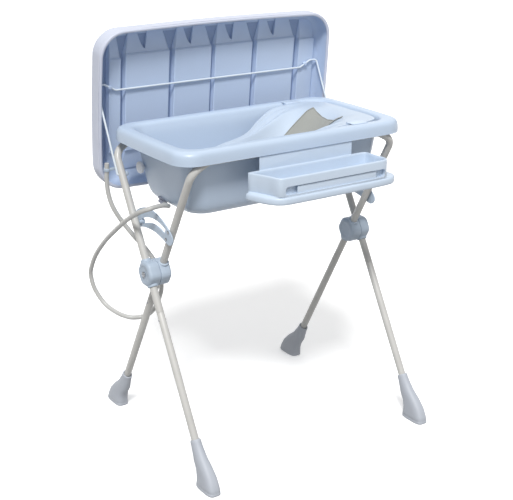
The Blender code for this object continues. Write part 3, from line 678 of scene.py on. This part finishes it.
def build_quadrant(side, s):
    outline = [on_arc(r, a) for a, r in spline(OUTER_ARC + INNER_ARC + OUTER_ARC[:1], 5)[:-1]]
    x0, x1 = s * PLATE_IN, s * PLATE_OUT
    plate = prism(outline, x0, x1, 0.0006)
    plate = look(f"quadrant_{side}", plate, "quadrant", "inner_frame")
    bends = [33 - 3 * i for i in range(20)]
    slot = [on_arc(SLOT_R[0], a) for a in bends] + [on_arc(SLOT_R[1], a) for a in bends[::-1]]
    carve(plate, prism(slot, x0 - s * 0.01, x1 + s * 0.01))
    for i, radius in enumerate(RIVETS_R, 1):
        spot = on_arc(radius, RIVETS_ANGLE)
        head = [
            (0, 0.0028), (0.00458, 0.0028), (0.0046, 0.005), (0.0056, 0.0051), (0.0064, 0.0042),
            (0.0068, 0.0022),
        ]
        rivet = lathe((s * RIVET_X, *spot), (s, 0, 0), head, 28)
        look(f"rivet_{side}_{i}", rivet, "steel", "inner_frame", 40)
    spot = on_arc(*SLOT_PIN_AT)
    shape = [
        (0, 0.008), (0.0008, 0.0092), (0.003, 0.0095), (0.00305, 0.0088), (0.0031, 0.0062),
        (0.0171, 0.0062),
    ]
    pin = lathe((s * SLOT_PIN_X, *spot), (s, 0, 0), shape, 32)
    look(f"slot_pin_{side}", pin, "hub", "outer_frame", 40)


for side_name, side_sign in SIDES:
    build_quadrant(side_name, side_sign)


# Tub
def rounded_ring(a, b, radius, bow, z, corner, ends, along):
    """A level rounded rectangle whose short sides bow outwards."""
    radius = min(radius, b - 0.012)
    points = []
    for k, (sx, sy) in enumerate(((1, 1), (-1, 1), (-1, -1), (1, -1))):
        centre = (sx * (a - radius), sy * (b - radius))
        for i in range(corner + 1):
            t = math.radians(90 * (k + i / corner))
            points.append((centre[0] + radius * math.cos(t), centre[1] + radius * math.sin(t)))
        count = along if k % 2 == 0 else ends
        for i in range(1, count + 1):
            s = 1 - 2 * i / (count + 1)
            flat = (sx * s * (a - radius), sy * b), (sx * a, sy * s * (b - radius))
            points.append(flat[k % 2])
    ring = []
    for x, y in points:
        swell = bow * max(0.0, 1 - (y / b) ** 2) * min(1.0, abs(x) / (a - radius))
        ring.append(Vector((x + math.copysign(swell, x), y, z)))
    return ring


def offset(profile, amount):
    """The profile moved sideways, for the other face of a wall."""
    moved = []
    for i, (d, z) in enumerate(profile):
        d0, z0 = profile[max(i - 1, 0)]
        d1, z1 = profile[min(i + 1, len(profile) - 1)]
        length = math.hypot(d1 - d0, z1 - z0)
        moved.append((d + amount * (z1 - z0) / length, z - amount * (d1 - d0) / length))
    return moved


TUB_PROFILE = [
    (0.0, 0.95), (0.0003, 0.968), (0.0025, 0.98), (0.008, 0.9872), (0.0165, 0.99), (0.031, 0.99),
    (0.0375, 0.9885), (0.0425, 0.984), (0.0465, 0.975), (0.052, 0.955), (0.0575, 0.915), (0.063, 0.875),
    (0.07, 0.835), (0.0755, 0.81), (0.083, 0.792), (0.096, 0.779), (0.112, 0.7738), (0.14, 0.773),
]
WALL_CAP = (-0.3415, 0.112, 0.8735)
DRAIN = Vector((-0.3148, 0.045, 0.7855))
DRAIN_WAY = Vector((-1.0, 0.0, -1.0)).normalized()


def tub_ring(d, z):
    size = RIM_A - RIM_BOW - d, RIM_B - d
    return rounded_ring(*size, max(0.048, 0.062 - 0.16 * d), RIM_BOW, z, 14, 9, 25)


def build_tub():
    inside = spline(TUB_PROFILE, 4)
    outside = offset(inside, WALL)
    outside[0] = (WALL, inside[0][1])
    rings = [tub_ring(d, z) for d, z in reversed(inside)] + [tub_ring(d, z) for d, z in outside]
    tub = look("tub", loft(rings), "tub", "bath_tub", 40)
    carve(tub, rounded_rod(DRAIN - 0.02 * DRAIN_WAY, DRAIN + 0.02 * DRAIN_WAY, 0.0095), sharp=40)
    for side, s in SIDES:
        x0, x1 = s * SADDLE_X - 0.014, s * SADDLE_X + 0.014
        rear = block((x0, 0.1905, 0.944), (x1, 0.2065, 0.9864), 0.0015)
        front = block((x0, -0.2155, 0.9515), (x1, -0.2085, 0.978), 0.0012)
        for end, bm, bar in (("rear", rear, REAR_BAR), ("front", front, FRONT_BAR)):
            piece = look(f"{end}_saddle_{side}", bm, "tub", "bath_tub")
            ends = ((s * SADDLE_X + dx, *bar) for dx in (-0.03, 0.03))
            carve(piece, rounded_rod(*ends, TUBE_R + FIT, 0.001, 48))


def build_drain():
    plug = [
        (0, 0.0075), (0.0055, 0.009), (0.0061, 0.0131), (0.0066, 0.0137), (0.008, 0.014),
        (0.0089, 0.0132), (0.0092, 0.0118), (0.0094, 0.006), (0.01, 0.004), (0.015, 0.0035),
        (0.0158, 0.0052), (0.017, 0.006), (0.0184, 0.0056), (0.019, 0.0042),
    ]
    bm = lathe(DRAIN + 0.003 * DRAIN_WAY, -DRAIN_WAY, plug, 40)
    look("drain_plug", bm, "white", "plug", 40)
    nut = [
        (0, 0.016), (0.0008, 0.017), (0.003, 0.017), (0.0042, 0.016), (0.0046, 0.012), (0.005, 0.01),
        (0.012, 0.0095), (0.013, 0.0085),
    ]
    bm = lathe(DRAIN + 0.0034 * DRAIN_WAY, DRAIN_WAY, nut, 48)
    fitting = look("drain_fitting", bm, "fitting", "bath_tub", 35)
    carve(fitting, rounded_rod(SPIGOT, HOSE_END, 0.0055, 0.001), operation="UNION")
    cap = [
        (0, 0.006), (0.008, 0.006), (0.0087, 0.0158), (0.0096, 0.0178), (0.011, 0.0185),
        (0.0158, 0.0185), (0.018, 0.0176), (0.0192, 0.0158), (0.0191, 0.0118), (0.018, 0.0104),
        (0.0178, 0.004),
    ]
    bm = lathe(WALL_CAP, (-1, 0, 0), cap, 56)
    look("wall_cap", bm, "white", "bath_tub", 35)


SPIGOT = DRAIN + 0.012 * DRAIN_WAY
HOSE_END = SPIGOT + Vector((-0.003, -0.024, 0.0))
build_tub()
build_drain()


# Seat insert and its liner
# Each row across the seat: x, half width, edge height, then the pad: half width, edge and middle height
SEAT_ROWS = [
    (-0.165, 0.003, 0.926, 0.0015, 0.9258, 0.9255), (-0.155, 0.013, 0.927, 0.0065, 0.9262, 0.9255),
    (-0.135, 0.024, 0.9285, 0.012, 0.9265, 0.9245), (-0.1, 0.036, 0.931, 0.018, 0.925, 0.9215),
    (-0.06, 0.048, 0.933, 0.025, 0.92, 0.915), (-0.02, 0.064, 0.9365, 0.034, 0.912, 0.904),
    (0.02, 0.087, 0.942, 0.044, 0.902, 0.891), (0.06, 0.114, 0.955, 0.051, 0.893, 0.88),
    (0.1, 0.139, 0.966, 0.056, 0.896, 0.8745), (0.13, 0.153, 0.975, 0.06, 0.908, 0.876),
    (0.165, 0.163, 0.983, 0.066, 0.932, 0.89), (0.2, 0.167, 0.986, 0.07, 0.956, 0.915),
    (0.235, 0.168, 0.9865, 0.075, 0.977, 0.941), (0.262, 0.168, 0.9865, 0.078, 0.984, 0.958),
    (0.29, 0.167, 0.9865, 0.08, 0.9855, 0.97), (0.318, 0.159, 0.9865, 0.082, 0.986, 0.978),
    (0.338, 0.14, 0.9865, 0.08, 0.9862, 0.9825), (0.348, 0.1, 0.9862, 0.06, 0.986, 0.984),
    (0.352, 0.04, 0.986, 0.03, 0.9859, 0.985),
]
# How far up the side a point is, for how far out it is: two ledges run along the trough
LEDGE = [
    (0.0, 0.0), (0.1, 0.17), (0.25, 0.42), (0.36, 0.665), (0.42, 0.785), (0.46, 0.815), (0.52, 0.785),
    (0.59, 0.78), (0.63, 0.8), (0.68, 0.865), (0.74, 0.89), (0.8, 0.885), (0.84, 0.905), (0.88, 0.975),
    (0.92, 0.999), (0.96, 1.0), (1.0, 0.988),
]


def seat_height(row, y):
    _, wide, edge, pad, side, middle = row
    if y <= pad:
        return middle + (side - middle) * (y / pad) ** 2
    f = (y - pad) / (wide - pad)
    for (f0, g0), (f1, g1) in zip(LEDGE, LEDGE[1:]):
        if f <= f1 + 1e-6:
            return side + (edge - side) * (g0 + (g1 - g0) * (f - f0) / (f1 - f0))
    return edge


def seat_ring(row, places):
    """A closed section across the seat."""
    x = row[0]
    line = [(y, seat_height(row, abs(y))) for y in [-y for y in places[:0:-1]] + places]
    return [Vector((x, y, z)) for y, z in line] + [Vector((x, y, z - SEAT_WALL)) for y, z in line[::-1]]


def build_seat():
    rings = []
    for row in spline(SEAT_ROWS, 4):
        wide, pad = row[1], row[3]
        places = [f * pad for f in (0.0, 0.2, 0.4, 0.6, 0.8, 1.0)]
        places += [pad + f * (wide - pad) for f, _ in LEDGE[1:]]
        rings.append(seat_ring(row, places))
    seat = look("insert_seat", loft(rings), "insert", "seat_insert", 45)
    lugs = []
    for s in (-1, 1):
        for near, far, low, high in ((0.158, 0.1745, 0.9835, 0.9922), (0.17, 0.196, 0.9903, 0.9922)):
            span = sorted((s * near, s * far))
            lugs.append(block((0.212, span[0], low), (0.268, span[1], high), 0.0006, 2))
    carve(seat, *lugs, operation="UNION", sharp=45)


def bead_point(row, y):
    return Vector((row[0], y, seat_height(row, abs(y)) + BEAD_LIFT))


def build_liner():
    """The padded lining of the trough: crowned across, sagging along, with a sewn edge."""
    rings = []
    rows = spline(SEAT_ROWS[6:14], 8)
    for k, row in enumerate(rows):
        pad = row[3] - 0.001
        ends = min(k, len(rows) - 1 - k) / 4
        puff = min(1.0, ends) ** 0.5
        upper, lower = [], []
        for i in range(-14, 15):
            f = i / 14
            y = f * pad
            z = seat_height(row, abs(y))
            roll = max(0.0, 1 - abs(f) ** 7) ** 0.5
            dimple = 0.0009 * noise.noise(Vector((34 * row[0], 34 * y, 3.0)))
            upper.append(Vector((row[0], y, z + 0.003 + (0.0048 + dimple) * roll * puff)))
            lower.append(Vector((row[0], y, z + 0.0024)))
        rings.append(upper + lower[::-1])
    liner = look("insert_liner", loft(rings), "liner", "seat_insert", 60)
    edge = []
    for s in (-1, 1):
        side = [bead_point(row, s * (row[3] - 0.0008)) for row in rows]
        edge.append(side if s < 0 else side[::-1])
    ends = (-0.8, -0.4, 0, 0.4, 0.8)
    far = [bead_point(rows[-1], f * rows[-1][3]) for f in ends]
    near = [bead_point(rows[0], f * rows[0][3]) for f in ends[::-1]]
    path = edge[0] + far + edge[1] + near
    edge = bead(path, 0.0014, 8)
    build("insert_liner_edge", edge, "liner", "seat_insert", sharp=60)


build_seat()
build_liner()


# Object tray
BIN = [
    (-0.182, -0.216), (-0.172, -0.248), (-0.158, -0.285), (-0.15, -0.312), (-0.136, -0.327),
    (-0.05, -0.33), (0.08, -0.33), (0.215, -0.33), (0.243, -0.322), (0.251, -0.3), (0.247, -0.265),
    (0.238, -0.216), (0.12, -0.216), (0.0, -0.216), (-0.1, -0.216),
]
FLANGE = [
    (-0.19, -0.219), (-0.187, -0.252), (-0.172, -0.29), (-0.152, -0.319), (-0.122, -0.3325),
    (-0.02, -0.3345), (0.1, -0.3345), (0.21, -0.333), (0.262, -0.327), (0.287, -0.308), (0.294, -0.284),
    (0.276, -0.25), (0.17, -0.219), (0.04, -0.219), (-0.09, -0.219),
]


def closed_outline(points, count=160, pull=0.35):
    """A closed smooth outline with evenly spaced points."""
    wrapped = [points[-1], *points, points[0], points[1]]
    dense = []
    for p0, p1, p2, p3 in zip(wrapped, wrapped[1:], wrapped[2:], wrapped[3:]):
        for k in range(24):
            t = k / 24
            a, b = 2 * t**3 - 3 * t**2 + 1, t**3 - 2 * t**2 + t
            c, d = -2 * t**3 + 3 * t**2, t**3 - t**2
            row = []
            for q0, q1, q2, q3 in zip(p0, p1, p2, p3):
                row.append(q1 * a + (q2 - q0) * pull * b + q2 * c + (q3 - q1) * pull * d)
            dense.append(Vector(row))
    lengths = [0.0]
    for p, q in zip(dense, dense[1:] + dense[:1]):
        lengths.append(lengths[-1] + (q - p).length)
    out, k = [], 0
    for i in range(count):
        want = lengths[-1] * i / count
        while lengths[k + 1] < want:
            k += 1
        f = (want - lengths[k]) / (lengths[k + 1] - lengths[k])
        out.append(dense[k].lerp(dense[(k + 1) % len(dense)], f))
    return out


def shrunk(outline, amount):
    """The outline moved inwards."""
    out = []
    for i, p in enumerate(outline):
        along = (outline[(i + 1) % len(outline)] - outline[i - 1]).normalized()
        out.append(p + amount * Vector((-along.y, along.x)))
    return out


def build_tray():
    bin_line, flange = closed_outline(BIN), closed_outline(FLANGE)
    rows = [
        (flange, 0.005, 0.8285), (flange, 0.0022, 0.8292), (flange, 0.0006, 0.8312),
        (flange, 0.0, 0.835), (flange, 0.0, 0.842), (flange, 0.0008, 0.8462),
        (flange, 0.0026, 0.8488), (flange, 0.005, 0.85), (bin_line, 0.001, 0.8535),
        (bin_line, 0.0, 0.856), (bin_line, 0.0, 0.903), (bin_line, 0.0006, 0.906),
        (bin_line, 0.002, 0.9076), (bin_line, 0.004, 0.908), (bin_line, 0.0058, 0.9076),
        (bin_line, 0.007, 0.906),
    ]
    rings = [[Vector((p.x, p.y, z)) for p in shrunk(line, inset)] for line, inset, z in rows]
    low, high = -0.304, -0.2195
    for inset, z in ((0.0075, 0.9), (0.0085, 0.864), (0.01, 0.858), (0.013, 0.855)):
        ring = []
        for p in shrunk(bin_line, inset):
            ring.append(Vector((p.x, min(max(p.y, low), high), z)))
        rings.append(ring)
    tray = look("object_tray", loft(rings), "tray", "tray", 38)
    corners = [
        (0.05, -0.345, 0.857), (-0.127, -0.345, 0.857), (-0.127, -0.345, 0.882), (0.232, -0.345, 0.882),
    ]
    slot = fillet(corners + [(0.232, -0.345, 0.857), corners[0]], 0.009, 8)[:-1]
    under = block((-0.12, -0.315, 0.82), (0.23, -0.23, 0.849), 0.012, 3)
    tongue = block((-0.143, -0.2178, 0.89), (0.19, -0.2156, 0.97), 0.0006, 2)
    carve(tray, tongue, operation="UNION", sharp=38)
    carve(tray, loft([slot, [p + Vector((0, 0.03, 0)) for p in slot]]), under, sharp=38)
    panel = block((-0.085, -0.3262, 0.8545), (0.2, -0.3222, 0.8795), 0.0012, 3)
    build("object_tray_panel", panel, "tray", "tray", sharp=40)


build_tray()


# Changing top
def lid_point(u, v, w):
    return LID_MID + Vector((u, 0, 0)) + v * LID_V + w * LID_W


def lid_ring(inset, w):
    """A rounded-rectangle ring of the lid, its long sides slightly crowned."""
    ring = rounded_ring(LID_A - inset, LID_B - inset, 0.075 - 0.5 * inset, 0.0058, 0, 16, 21, 41)
    out = []
    for u, v, _ in ring:
        crown = 0.0082 * max(0.0, 1 - (u / LID_A) ** 2)
        lift = math.copysign(crown * min(1, abs(v) / (LID_B - 0.08)), v)
        out.append(lid_point(u, v + lift, w))
    return out


COVER_OUT = [
    (0.0088, 0.008), (0.0094, 0.003), (0.008, 0.0008), (0.005, 0.0), (0.002, 0.0006), (0.0004, 0.004),
    (0.0, 0.02), (0.0, 0.046), (0.0015, 0.056), (0.0055, 0.066), (0.012, 0.0755), (0.0215, 0.083),
    (0.033, 0.087), (0.05, 0.0885),
]
COVER_IN = [
    (0.0072, 0.0082), (0.0071, 0.0042), (0.0036, 0.0038), (0.0035, 0.044), (0.0068, 0.06),
    (0.013, 0.07), (0.023, 0.0775), (0.035, 0.0808), (0.06, 0.0812),
]
SHELL_OUT = [
    (0.0038, 0.0044), (0.0038, 0.044), (0.0071, 0.0598), (0.0133, 0.0697), (0.0233, 0.0772),
    (0.0353, 0.0805), (0.06, 0.0809),
]
SHELL_IN = [
    (0.0068, 0.0044), (0.0068, 0.043), (0.01, 0.058), (0.016, 0.0672), (0.025, 0.0732),
    (0.0365, 0.0757), (0.06, 0.076),
]


def cover_ring(inset, w, deep, wrinkle=0.0):
    """A ring of the cover: it puffs at the corners and pulls in along the sides."""
    ring = lid_ring(inset, w)
    out = []
    for p in ring:
        u, v = p.x, (p - LID_MID).dot(LID_V)
        way = u / 0.36 if abs(v) > LID_B - 0.07 else v / 0.19
        along = max(0.0, 1 - way**4)
        belly = math.sin(math.pi * min(max(w / 0.07, 0.0), 1.0))
        inward = Vector((-u, 0, 0)) / LID_A - v * LID_V / LID_B
        crease = wrinkle * (noise.noise(Vector((15 * u, 15 * v, 22 * w))) + 0.4)
        pull = deep * along * belly + crease * belly
        out.append(p + min(deep + 0.0006, max(0.0, pull)) * inward.normalized())
    return out


def build_cover():
    outside, inside = spline(COVER_OUT, 3), spline(COVER_IN, 2)
    rings = [cover_ring(i, w, 0.0018 if i < 0.0069 else 0.0) for i, w in reversed(inside)]
    rings += [cover_ring(i, w, 0.0044 if i < 0.004 or w > 0.01 else 0.0, 0.0014) for i, w in outside]
    for k in range(1, 10):
        rings.append(lid_ring(0.05 + 0.18 * k / 9, 0.0885))
    cover = look("top_cover", loft(rings), "cover", "changing_top", 50)
    piping = bead(lid_ring(0.0008, 0.0105), 0.0013, 10, LID_W)
    build("top_piping", piping, "piping", "changing_top")


PAD_A, PAD_B, PAD_BASE, PAD_SWELL = 0.372, 0.2, 0.088, 0.0046
PAD_SEAMS_T = (-0.72, -0.24, 0.24, 0.72)
PAD_SEAMS_S = (-0.84, 0.84)


def puff_between(x, seams, sharp):
    """How far a pad swells at x between its seams: 0 on a seam, 1 in the middle of a channel."""
    edges = [-1.0, *seams, 1.0]
    for low, high in zip(edges, edges[1:]):
        if x <= high:
            f = (x - low) / (high - low)
            return max(0.0, 1 - abs(2 * f - 1) ** sharp) ** 0.5
    return 0.0


def eased(x):
    """Sets the grid's lines closer together towards the pad's edges."""
    return math.sin(x * math.pi / 2) * 0.35 + x * 0.65


def pad_point(s, t, lift):
    u = PAD_A * s * math.sqrt(1 - 0.11 * t * t)
    v = PAD_B * t * math.sqrt(1 - 0.2 * s * s)
    return lid_point(u, v, PAD_BASE + lift)


def inflate(piece, pinned, pressure, cap, frames=12):
    """Swells a pad with Blender's cloth, with its seams and base held, and keeps the result."""
    scene = bpy.context.scene
    start = [v.co.copy() for v in piece.data.vertices]
    piece.vertex_groups.new(name="held").add(pinned, 1.0, "REPLACE")
    cloth = piece.modifiers.new("Cloth", "CLOTH")
    cloth.settings.vertex_group_mass = "held"
    cloth.settings.use_pressure = True
    cloth.settings.uniform_pressure_force = pressure
    cloth.settings.mass = 0.15
    cloth.settings.quality = 4
    cloth.settings.tension_stiffness = 12.0
    cloth.settings.compression_stiffness = 12.0
    cloth.settings.bending_stiffness = 0.2
    cloth.settings.effector_weights.gravity = 0.0
    cloth.collision_settings.use_collision = False
    cloth.point_cache.frame_start, cloth.point_cache.frame_end = 1, frames
    for step in range(1, frames + 1):
        scene.frame_set(step)
    apply_modifiers(piece)
    for v, before in zip(piece.data.vertices, start):
        moved = v.co - before
        if moved.length > cap:
            v.co = before + moved * (cap / moved.length)
    scene.frame_set(1)
    piece.data.shade_smooth()


def build_pad():
    """The padded changing surface: long quilted channels inside a raised border."""
    across_count, along_count = 72, 104
    bm = bmesh.new()
    grid, free = [], []
    for i in range(along_count + 1):
        s = eased(2 * i / along_count - 1)
        row = []
        for j in range(across_count + 1):
            t = eased(2 * j / across_count - 1)
            swell = min(puff_between(s, PAD_SEAMS_S, 6.0), puff_between(t, PAD_SEAMS_T, 3.0))
            crease = 0.0005 * noise.noise(Vector((14 * s, 30 * t, 1.0)))
            row.append(bm.verts.new(pad_point(s, t, 0.001 + PAD_SWELL * swell + crease)))
            free.append(swell > 0.45)
        grid.append(row)
    for a, b in zip(grid, grid[1:]):
        for j in range(across_count):
            bm.faces.new((a[j], a[j + 1], b[j + 1], b[j]))
    edges = [e for e in bm.edges if e.is_boundary]
    made = bmesh.ops.extrude_edge_only(bm, edges=edges)["geom"]
    low = [v for v in made if isinstance(v, bmesh.types.BMVert)]
    for v in low:
        v.co -= 0.0016 * LID_W
    rim = [e for e in bm.edges if e.is_boundary]
    bmesh.ops.contextual_create(bm, geom=rim)
    pad = build("top_pad", bm, "cover", "changing_top", sharp=70)
    held = [v.index for v in pad.data.vertices if v.index >= len(free) or not free[v.index]]
    inflate(pad, held, 9.0, 0.005)


BLOCKS = (
    (-0.366, -0.326), (-0.31, -0.156), (-0.138, -0.003), (0.0115, 0.153), (0.1706, 0.32),
    (0.3405, 0.402),
)
NOTCH_AT, NOTCH_RISE = 0.455, 0.058


def build_block(index, u0, u1):
    """One hollow block of the shell's floor: a flat face with sloped ends, and a notch above it."""
    wide = u1 - u0 > 0.1
    v0, v1 = (-0.15, 0.16) if wide else (-0.15, 0.15)
    foot0, foot1 = (-0.214, 0.226) if wide else (-0.205, 0.214)
    deep, face, grow = 0.077, 0.056, 0.003
    left, right = (0.014, 0.021) if wide else (0.006, 0.01)
    upper = [(u0, v0), (u0, 0.0), (u0, v1 - 0.002), (u0 + 0.004, v1)]
    upper += [(u1 - 0.004, v1), (u1, v1 - 0.002), (u1, 0.0), (u1, v0)]
    lower = [(u0 - grow, foot0), (u0 - grow, 0.0), (u0 - grow, v1 + 0.004), (u0 + left, foot1)]
    lower += [(u1 - right, foot1), (u1 + grow, v1 + 0.004), (u1 + grow, 0.0), (u1 + grow, foot0)]
    step = [(u, v + 0.004 if v > 0.1 else v) for u, v in upper]
    rings = ((upper, face), (step, face + 0.0062), (lower, 0.0722), (lower, deep))
    bm = loft([[Vector((u, v, w)) for u, v in line] for line, w in rings])
    bmesh.ops.recalc_face_normals(bm, faces=bm.faces)
    edges = [e for e in bm.edges if max(v.co.z for v in e.verts) < face + 0.001]
    bmesh.ops.bevel(bm, geom=edges, offset=0.0032, segments=4, affect="EDGES", profile=0.5)
    for v in bm.verts:
        v.co = lid_point(*v.co)
    piece = build(f"top_block_{index}", bm, "top", "changing_top", sharp=8)
    if wide:
        tip, rise = (u0 + NOTCH_AT * (u1 - u0), v1 + 0.012), NOTCH_RISE
        bow = [(tip[0] - 0.027 * f**0.55, tip[1] + f * rise) for f in (1.0, 0.75, 0.5, 0.25, 0.08)]
        shape = [tip, (tip[0] + 0.011, tip[1] + rise), *bow]
        carve(piece, loft([[lid_point(u, v, w) for u, v in shape] for w in (0.052, 0.079)]), sharp=8)
    piece.modifiers.new("Normals", "WEIGHTED_NORMAL").keep_sharp = True
    apply_modifiers(piece)


def build_top():
    inside, outside = spline(SHELL_IN, 3), spline(SHELL_OUT, 2)
    rings = [lid_ring(i, w) for i, w in reversed(inside)] + [cover_ring(i, w, 0.002) for i, w in outside]
    look("top_shell", loft(rings), "top", "changing_top", 45)
    # A thin dark sheet behind the blocks: painted shade that stands in for the shadow in the deeper
    # gutters and notches.
    floor = [lid_ring(0.036, w) for w in (0.0754, 0.0757)]
    build("top_recess_painted_shade", loft(floor), "recess", "changing_top", sharp=40)
    for index, (u0, u1) in enumerate(BLOCKS, 1):
        build_block(index, u0, u1)


def wire_point(x, v):
    return lid_point(x, v, WIRE_DEPTH)


def build_bail():
    """The wire runs up beside the top, in through its rim and, after a bend, across its inner side."""
    corners = [(0.379, *PIVOT), (WIRE_X, *PIVOT), wire_point(WIRE_X, BAIL_HIGH)]
    corners += [wire_point(BEND_OUT, BAIL_HIGH), wire_point(BEND_IN, BAIL_LOW), wire_point(0.0, BAIL_LOW)]
    half = fillet(corners, [0.0034, 0.01, 0.009, 0.009], 10)
    other = [Vector((-p.x, p.y, p.z)) for p in half[:-1]]
    look("bail_wire", tube(half + other[::-1], WIRE_R, 16), "wire", "changing_top", 60)
    for side_name, s in SIDES:
        shape = [
            (0, 0.0072), (0.0006, 0.0079), (0.0024, 0.008), (0.005, 0.0073), (0.0072, 0.0058),
            (0.0088, 0.0036), (0.0095, 0.0012),
        ]
        cap = lathe((s * 0.3862, *PIVOT), (-s, 0, 0), shape, 32)
        look(f"bail_cap_{side_name}", cap, "hub", "changing_top", 60)
        middle = wire_point(s * 0.3665, 0.06625)
        along = (wire_point(s * BEND_OUT, BAIL_HIGH) - wire_point(s * BEND_IN, BAIL_LOW)).normalized()
        square = along.cross(LID_W).normalized()
        bm = block((-0.005, -0.0055, -0.0048), (0.005, 0.0055, 0.0052), 0.0012)
        for v in bm.verts:
            v.co = middle + v.co.x * along + v.co.y * square + v.co.z * LID_W
        look(f"bail_clip_{side_name}", bm, "top", "changing_top", 40)


build_cover()
build_pad()
build_top()
build_bail()


# Drain hose and its clip
HOSE_ROUTE = [
    HOSE_END + Vector((-0.0001, -0.0008, 0)), HOSE_END + Vector((-0.0013, -0.0104, 0)),
    (-0.33, -0.011, 0.779), (-0.344, -0.026, 0.787), (-0.365, -0.036, 0.793), (-0.39, -0.043, 0.795),
    (-0.412, -0.042, 0.792), (-0.424, -0.017, 0.78), (-0.429, 0.015, 0.762), (-0.431, 0.073, 0.728),
    (-0.434, 0.145, 0.676), (-0.4365, 0.211, 0.625), (-0.4385, 0.278, 0.56), (-0.44, 0.313, 0.507),
    (-0.438, 0.325, 0.475), (-0.43, 0.317, 0.428), (-0.41, 0.287, 0.381), (-0.39, 0.237, 0.362),
    (-0.365, 0.199, 0.355), (-0.33, 0.186, 0.354), (-0.32, 0.157, 0.371), (-0.315, 0.118, 0.409),
    (-0.31, 0.095, 0.456), (-0.31, 0.085, 0.485), (-0.314, 0.08, 0.53), (-0.327, 0.088, 0.57),
    (-0.336, 0.113, 0.597), (-0.35, 0.129, 0.622), (-0.37, 0.138, 0.648), (-0.39, 0.153, 0.681),
    (-0.41, 0.165, 0.716), (-0.425, 0.174, 0.752), (-0.433, 0.18, 0.793), (-0.436, 0.179, 0.835),
    (-0.436, 0.1761, 0.854), (-0.436, 0.1749, 0.864), (-0.436, 0.1725, 0.884),
]


def build_hose():
    path = [Vector(p) for p in spline(HOSE_ROUTE, 5)]
    hose = look("drain_hose", tube(path, HOSE_R, 24), "hose", None, 60)
    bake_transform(hose)
    middle = Vector((-0.436, 0.1749, 0.864))
    way = Vector((0.0, -0.12, 1.0)).normalized()
    u, v = across(way)
    profile = [
        (0.008, -0.005), (0.0092, -0.0046), (0.0096, -0.0036), (0.0096, 0.0036), (0.0092, 0.0046),
        (0.008, 0.005), (0.0073, 0.0044), (0.0073, -0.0044),
    ]
    band = loft([circle(middle + d * way, u, v, r, 40) for r, d in profile], close=True)
    clip = look("hose_clip", band, "hub", "outer_frame")
    carve(clip, block((-0.4285, 0.17, 0.86), (-0.393, 0.178, 0.868), 0.001, 2), operation="UNION")
    upright = ((-OUTER_X, leg_y(OUTER_SLOPE, z), z) for z in (0.8, 0.92))
    carve(clip, rounded_rod(*upright, TUBE_R + FIT, 0.001, 48))


build_hose()
